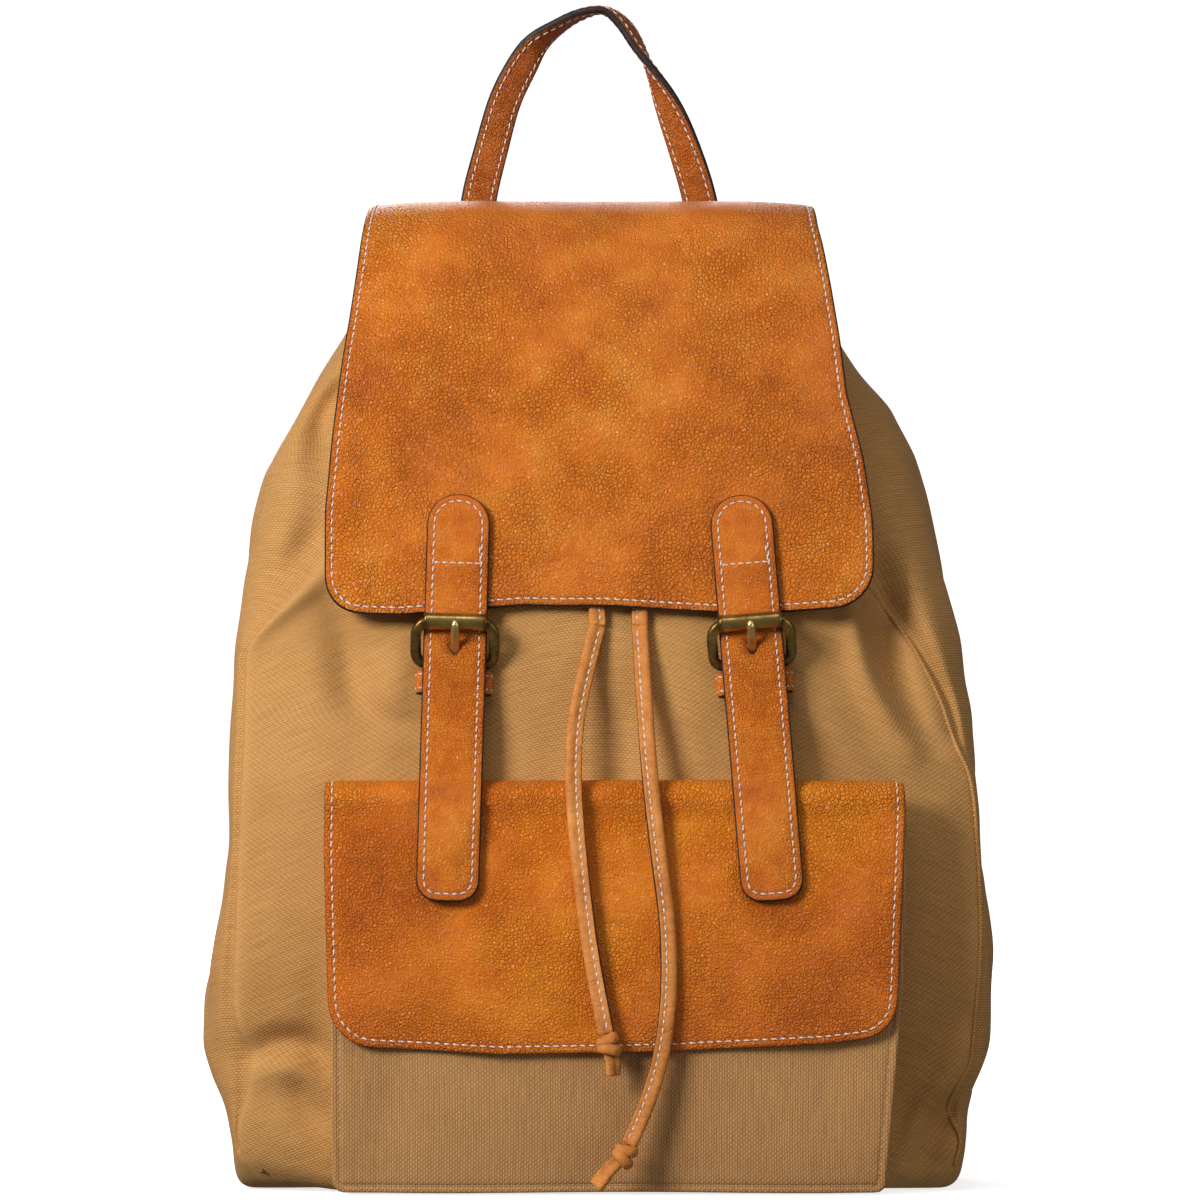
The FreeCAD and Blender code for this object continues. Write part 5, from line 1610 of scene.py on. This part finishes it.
def make_keeper(side):
    """The leather band round the chape that holds the strap's free end."""
    local = front_frame(side)
    b = Build()
    low, high = -12.6, -3.1
    section = tab(15.2, 7.9, 1.6, 1.9, 1.0, 1, 2.1)
    count = len(section)

    def ring_at(share, grow):
        ring = section - inward(section) * grow
        return local.points(ring[:, 0], np.full(count, low + (high - low) * share), ring[:, 1])

    outer = [ring_at(share, grow) for share, grow in (
        (0, -0.5), (0.03, -0.12), (0.1, 0.06), (0.2, 0.0), (0.35, 0.12), (0.5, 0.16), (0.65, 0.12),
        (0.8, 0.0), (0.9, 0.06), (0.97, -0.12), (1.0, -0.5))]
    inner = [ring_at(share, -1.25) for share in (0, 0.5, 1.0)]
    uvs = [[(r * MM, 0.00095 * i) for r in lengths(section)] for i in range(len(outer))]
    b.grid(outer, uvs, closed=True)
    b.materials = [1 if (i // count) in (0, 9) else 0 for i in range(len(b.faces))]
    for rim_row, inner_row in ((outer[0], inner[0]), (inner[-1], outer[-1])):
        b.grid([rim_row, inner_row], None, 1, closed=True)
    b.grid(inner[::-1], None, 2, closed=True)
    loop = np.vstack([section, section[:1]])
    runs = lengths(loop)
    away = -inward(section)
    away = np.vstack([away, away[:1]])

    def place(a, s, h):
        spot = sample(a, runs, loop) + h[:, None] * sample(a, runs, away)
        return local.points(spot[:, 0], s, spot[:, 1])
    for s in (low + 1.9, high - 1.9):
        stitches(b, [(0.2, s), (runs[-1] - 0.2, s)], place, pitch=3.3, long=2.5, radius=0.32, lift=0.1,
                 material=3)
    made = b.make(f"keeper_{side}_leather", [STRAP, *SEWN])
    settle(made, "lid", "leather", f"strap_keeper_{side}")


def make_snap(side):
    """The snap's socket on the bag and stud on the chape: stamped discs with rolled rims."""
    local = front_frame(side)
    origin = local.points([0], [-24], [0])[0]
    out = local.points([0], [-24], [1])[0] - origin
    for name, node, body, start, up in (("socket", f"snap_socket_{side}", "bag", 0.0, 1.8),
                                        ("stud", f"snap_stud_{side}", "lid", 1.95, 1.2)):
        b = Build()
        shape = [(0.05, start), (6.9, start), (7.7, start + 0.25), (7.95, start + up * 0.5),
                 (7.6, start + up - 0.15), (6.8, start + up), (5.6, start + up - 0.35),
                 (3.2, start + up - 0.4), (2.6, start + up - 0.1), (0.05, start + up - 0.1)]
        turned(b, shape, origin, out)
        settle(b.make(f"{name}_{side}_disc", [BRASS]), body, "brass", node)


def make_eyelet(side):
    """A drawstring eyelet: its rolled front and the washer behind the cloth."""
    centre = np.array((EYELETS[side], *eyelet_spot(0)))
    out = np.array((0, -math.cos(EYELET_TILT), math.sin(EYELET_TILT)))
    b = Build()
    turned(b, [(4.3, -3.2), (4.25, -1.0), (4.3, 0.4), (4.7, 0.95), (5.5, 1.1), (6.2, 0.8), (6.5, 0.25),
               (6.45, -0.1)], centre, out)
    turned(b, [(6.2, -2.3), (6.0, -2.9), (5.3, -3.2), (4.3, -3.2)], centre, out)
    settle(b.make(f"eyelet_{side}_ring", [BRASS]), "bag", "brass", f"eyelet_{side}")


# ---- the grab handle

def make_handle():
    """The grab handle: a strap in an arch that twists at its top, along (x, z, y) points."""
    half_wide = 7.6
    spine = catmull([(-50.4, 386, 71), (-50.0, 402, 71), (-44.4, 425, 70.6), (-39.2, 443, 70.4),
                     (-32.4, 457, 70.4), (-26.2, 466.5, 70.4), (-17.2, 473.6, 70.6), (-8.2, 478.6, 71),
                     (1.6, 480.4, 71.2), (9.8, 474.6, 71), (16.2, 464.5, 70.6), (22.4, 453, 70.4),
                     (28.4, 440, 70.4),
                     (34.2, 425, 70.6), (40.2, 406, 70.8), (44.2, 386, 71)], 1.2)
    path = spine[:, [0, 2, 1]]
    along = along_of(path)
    share = np.linspace(0, 1, len(path))
    # how far the strap's face is turned away from the front, in radians, along its length
    turns = [(0, 0.12), (0.16, 0.20), (0.29, 0.28), (0.345, 0.40), (0.41, 1.18), (0.46, 1.38), (0.52, 1.60),
             (0.57, 1.95), (0.61, 1.95), (0.655, 1.60), (0.70, 1.15), (0.76, 0.62), (0.86, 0.34), (1.0, 0.22)]
    swing = np.interp(share, *zip(*turns))
    swing = smoothed(swing, 4.5, 24)[:, None]
    forward = np.array((0, -1.0, 0))
    plane = unit(np.cross(along, forward))
    out = unit(forward - (along @ forward)[:, None] * along)
    width = plane * np.cos(swing) - out * np.sin(swing)
    face = out * np.cos(swing) + plane * np.sin(swing)
    runs = lengths(path)
    total = runs[-1]
    half = half_wide - 0.9 * np.sin(np.pi * share)

    def place(a, s, h):
        scale = np.interp(s, runs, half) / half_wide
        spot, w, f = (sample(s, runs, values) for values in (path, width, face))
        crown = 0.35 * np.cos(np.clip(a / half_wide, -1, 1) * math.pi / 2)
        return spot + w * (a * scale)[:, None] + f * (h + np.sign(h) * crown)[:, None]
    edge = outline([(-half_wide, 0, 2), (-half_wide, total, 2), (half_wide, total, 2),
                    (half_wide, 0, 2)], 1.5)
    b = Build()
    panel(b, edge, place, 3.0, cell=2.2, inset=2.7, groove=0.35, edge=0.7, materials=(0, 1, 0))
    for a in (-4.9, 4.9):
        for h in (1.55, -1.55):
            def rows(p, s, up, h=h):
                return place(p, s, np.where(h > 0, h + up, h - up))
            stitches(b, [(a, 2), (a, total - 2)], rows, radius=0.34, material=2)
    settle(b.make("handle_leather", [HANDLE_SHADED, EDGE, THREAD]), "handle", "leather", "grab_handle")


# ---- the back: yoke, harness, anchors

def sewn_patch(name, corners, y, thick, material, replaced, step=2.0, cross_at=None):
    """A leather patch sewn on at y, facing backwards; corners are (x, distance below z 400, radius)."""
    edge = outline(corners, step, 1)

    def place(a, down, h):
        return np.stack([a, y + h, 400 - down], axis=1)
    b = Build()
    panel(b, edge, place, thick, cell=3.2, groove=0.4, dome=0.15)
    stitches(b, inset_path(edge, 2.8), place, pitch=3.6, radius=0.34, lift=thick / 2 - 0.1, material=3,
             closed=True)
    if cross_at is not None:
        cross_stitch(b, place, cross_at, 7.5, 19.5, 32.5, 1.6)
    settle(b.make(name, [material, *SEWN]), "bag", "leather", replaced)


def make_back():
    """The yoke, the patches at the handle's feet and the strip that holds the lid's back edge."""
    sewn_patch("yoke_leather", [(-62, 15.4, 5), (62, 15.4, 5), (60, 62, 0), (44, 77, 16), (0, 79, 0),
                                (-44, 77, 16), (-60, 62, 0)], 63.3, 2.4, BACK, "back_yoke")
    for side, x in (("left", -51), ("right", 43)):
        sewn_patch(f"handle_tab_{side}", [(x - 11, 16, 4), (x + 11, 16, 4), (x + 11, 36, 4), (x - 11, 36, 4)],
                   66.1, 2.8, STRAP, f"handle_anchor_{side}", 1.2, x)
    b = Build()
    run = Run(catmull([(59.9, 385.4), (59.9, 388.0), (61.2, 389.4), (63.3, 389.4), (64.6, 388.2),
                       (64.7, 385.2)], 0.6))
    panel(b, tab(84, run.long, 1, 1, 1.6, 0), run, 1.2, cell=2.4, inset=1.6, groove=0, edge=0.5)
    for s in (2.2, run.long - 2.4):
        stitches(b, [(-82, s), (82, s)], run, lift=0.6, material=3)
    settle(b.make("lid_binding", [BACK, *SEWN]), "bag", "leather", "lid_seam")


# where the lower strap starts, below the shoulder strap's sewn top
LOWER_TOP = -190.6


def make_shoulder_strap(side):
    """Leather over soft filling, flat at its sewn top, its edges pinched and stitched."""
    line = catmull([(10, 4.3), (-2, 5.0), (-16, 8.6), (-40, 14.2), (-70, 18.6), (-100, 20.8), (-130, 21.2),
                    (-160, 20.6), (-190, 19.6)], 1.2)
    place = back_frame(side).sheet(line)
    long = place.run.long
    b = Build()
    half = 19.8
    edge = tab(half, long, 6, 16, 2.0)

    def padded(a, s, h):
        a, s, h = (np.asarray(v, float) for v in (a, s, h))
        margin = np.minimum(half - np.abs(a), np.minimum(s, long - s))
        swell = 1.5 * (1 - np.exp(-np.maximum(0, margin - 4.2) / 3.2)) * ease((s - 14) / 16)
        ripple = 0.25 * np.sin(s / 5.0 + 0.4 * np.sin(a / 6.0)) * ease((s - 14) / 20)
        return place(a, s, h + np.where(h > 0, 1, -1) * (swell + ripple * (h > 0)))
    panel(b, edge, padded, 2.6, cell=2.6, inset=4.0, groove=0.5, edge=0.6, materials=(0, 1, 4))
    stitches(b, inset_path(edge, 4.0), padded, pitch=3.6, radius=0.34, lift=1.05, material=3, closed=True)
    for s in (9, 22):
        stitches(b, [(-14, s), (14, s)], padded, lift=1.35, material=3)
    cross_stitch(b, padded, 0, 12, 10, 21, 1.35)
    made = b.make(f"shoulder_strap_{side}_padded", [BACK, *SEWN, CANVAS_POCKET])
    settle(made, "bag", "leather", f"shoulder_strap_{side}")


def make_lower_strap(side):
    """The strap with punched holes that runs from the adjusting buckle down to the anchor."""
    top = LOWER_TOP
    line = catmull([(top + 1, 19.6), (top - 18, 18.6), (top - 44, 15.0), (top - 74, 9.6), (top - 100, 5.2),
                    (top - 112, 4.2), (top - 121, 4.1)], 1.0)
    place = back_frame(side).sheet(line)
    edge = tab(12.4, place.run.long, 4, 5, 1.6)
    holes = [hole_at(34 + 14 * k, 1.9, 1.9, 12) for k in range(5)]
    b = Build()
    panel(b, edge, place, 2.5, cell=2.6, groove=0.4, holes=holes, edge=0.6)
    stitches(b, inset_path(edge, 2.8), place, pitch=3.6, radius=0.34, lift=1.15, material=3, closed=True)
    made = b.make(f"lower_strap_{side}_leather", [BACK, *SEWN])
    settle(made, "bag", "leather", f"lower_strap_{side}")


def make_anchor(side):
    """The patch that holds the lower strap's end to the back."""
    foot = LOWER_TOP - 122
    place = back_frame(side).sheet([(foot + 34, 1.3), (foot + 13, 1.3), (foot - 8, 1.3)])
    edge = tab(17, 42, 4, 10, 1.8)
    b = Build()
    panel(b, edge, place, 2.4, groove=0.4)
    stitches(b, inset_path(edge, 2.8), place, lift=1.1, material=3, closed=True)
    cross_stitch(b, place, 0, 11, 22, 38, 1.25)
    made = b.make(f"strap_anchor_{side}_leather", [BACK, *SEWN])
    settle(made, "bag", "leather", f"strap_anchor_{side}")


def make_adjuster(side):
    """The shoulder strap's buckle, and the leather loop that holds it to the strap."""
    local = back_frame(side)
    drop, face = -202, 26.1

    def place(x, u, out):
        return local.points(x, u + drop, out + face)
    loop = rounded_loop(15.4, 22.0, 4.0, 4.0)
    made = cast_frame(f"adjuster_{side}_frame", place, loop, np.zeros(len(loop)),
                      ring_points(2.0, 1.7, 20, (0.8, 0.75)),
                      [0.72 if abs(x) < 11 and u < 2 else 1.0 for x, u in loop])
    settle(made, "bag", "brass", f"adjuster_frame_{side}")
    points = [(0.2, -2.1), (-1.8, -1.3), (-2.2, 0.6), (-0.4, 2.4), (2.4, 2.8), (8, 2.6), (14, 2.4), (19, 2.5),
              (23, 2.7), (25.6, 2.2)]
    made = cast_tongue(f"adjuster_{side}_tongue", place, points, ring_points(1.7, 1.2, 16), 0, 0.15, (1, 1))
    settle(made, f"adjuster_{side}", "brass", f"adjuster_tongue_{side}")
    b = Build()
    line = catmull([(drop + 34, 24.0), (drop + 24, 24.6), (drop + 12, 25.4), (drop + 3, 28.2),
                    (drop - 1.6, 28.6), (drop - 3.4, 26.2), (drop - 2.0, 23.8), (drop + 4, 22.6)], 0.8)
    wrap = local.sheet(line)
    gap = tab(2.4, 38, 1, 1, 1.0, 0, 24)
    panel(b, tab(11, wrap.run.long, 4, 1, 1.4), wrap, 1.6, cell=2.2, inset=2.4, groove=0.3, holes=[gap])
    settle(b.make(f"adjuster_{side}_loop", [BACK, EDGE, SUEDE]), "bag", "leather")


make_pocket()
make_pocket_flap()
make_lid()
for side in STRAPS:
    for make in (make_strap, make_buckle, make_chape, make_keeper, make_snap, make_eyelet,
                 make_shoulder_strap, make_lower_strap, make_anchor, make_adjuster):
        make(side)
make_handle()
make_back()
stiffener = nodes["base_board"].data
stiffener.materials.clear()
stiffener.materials.append(BOARD)
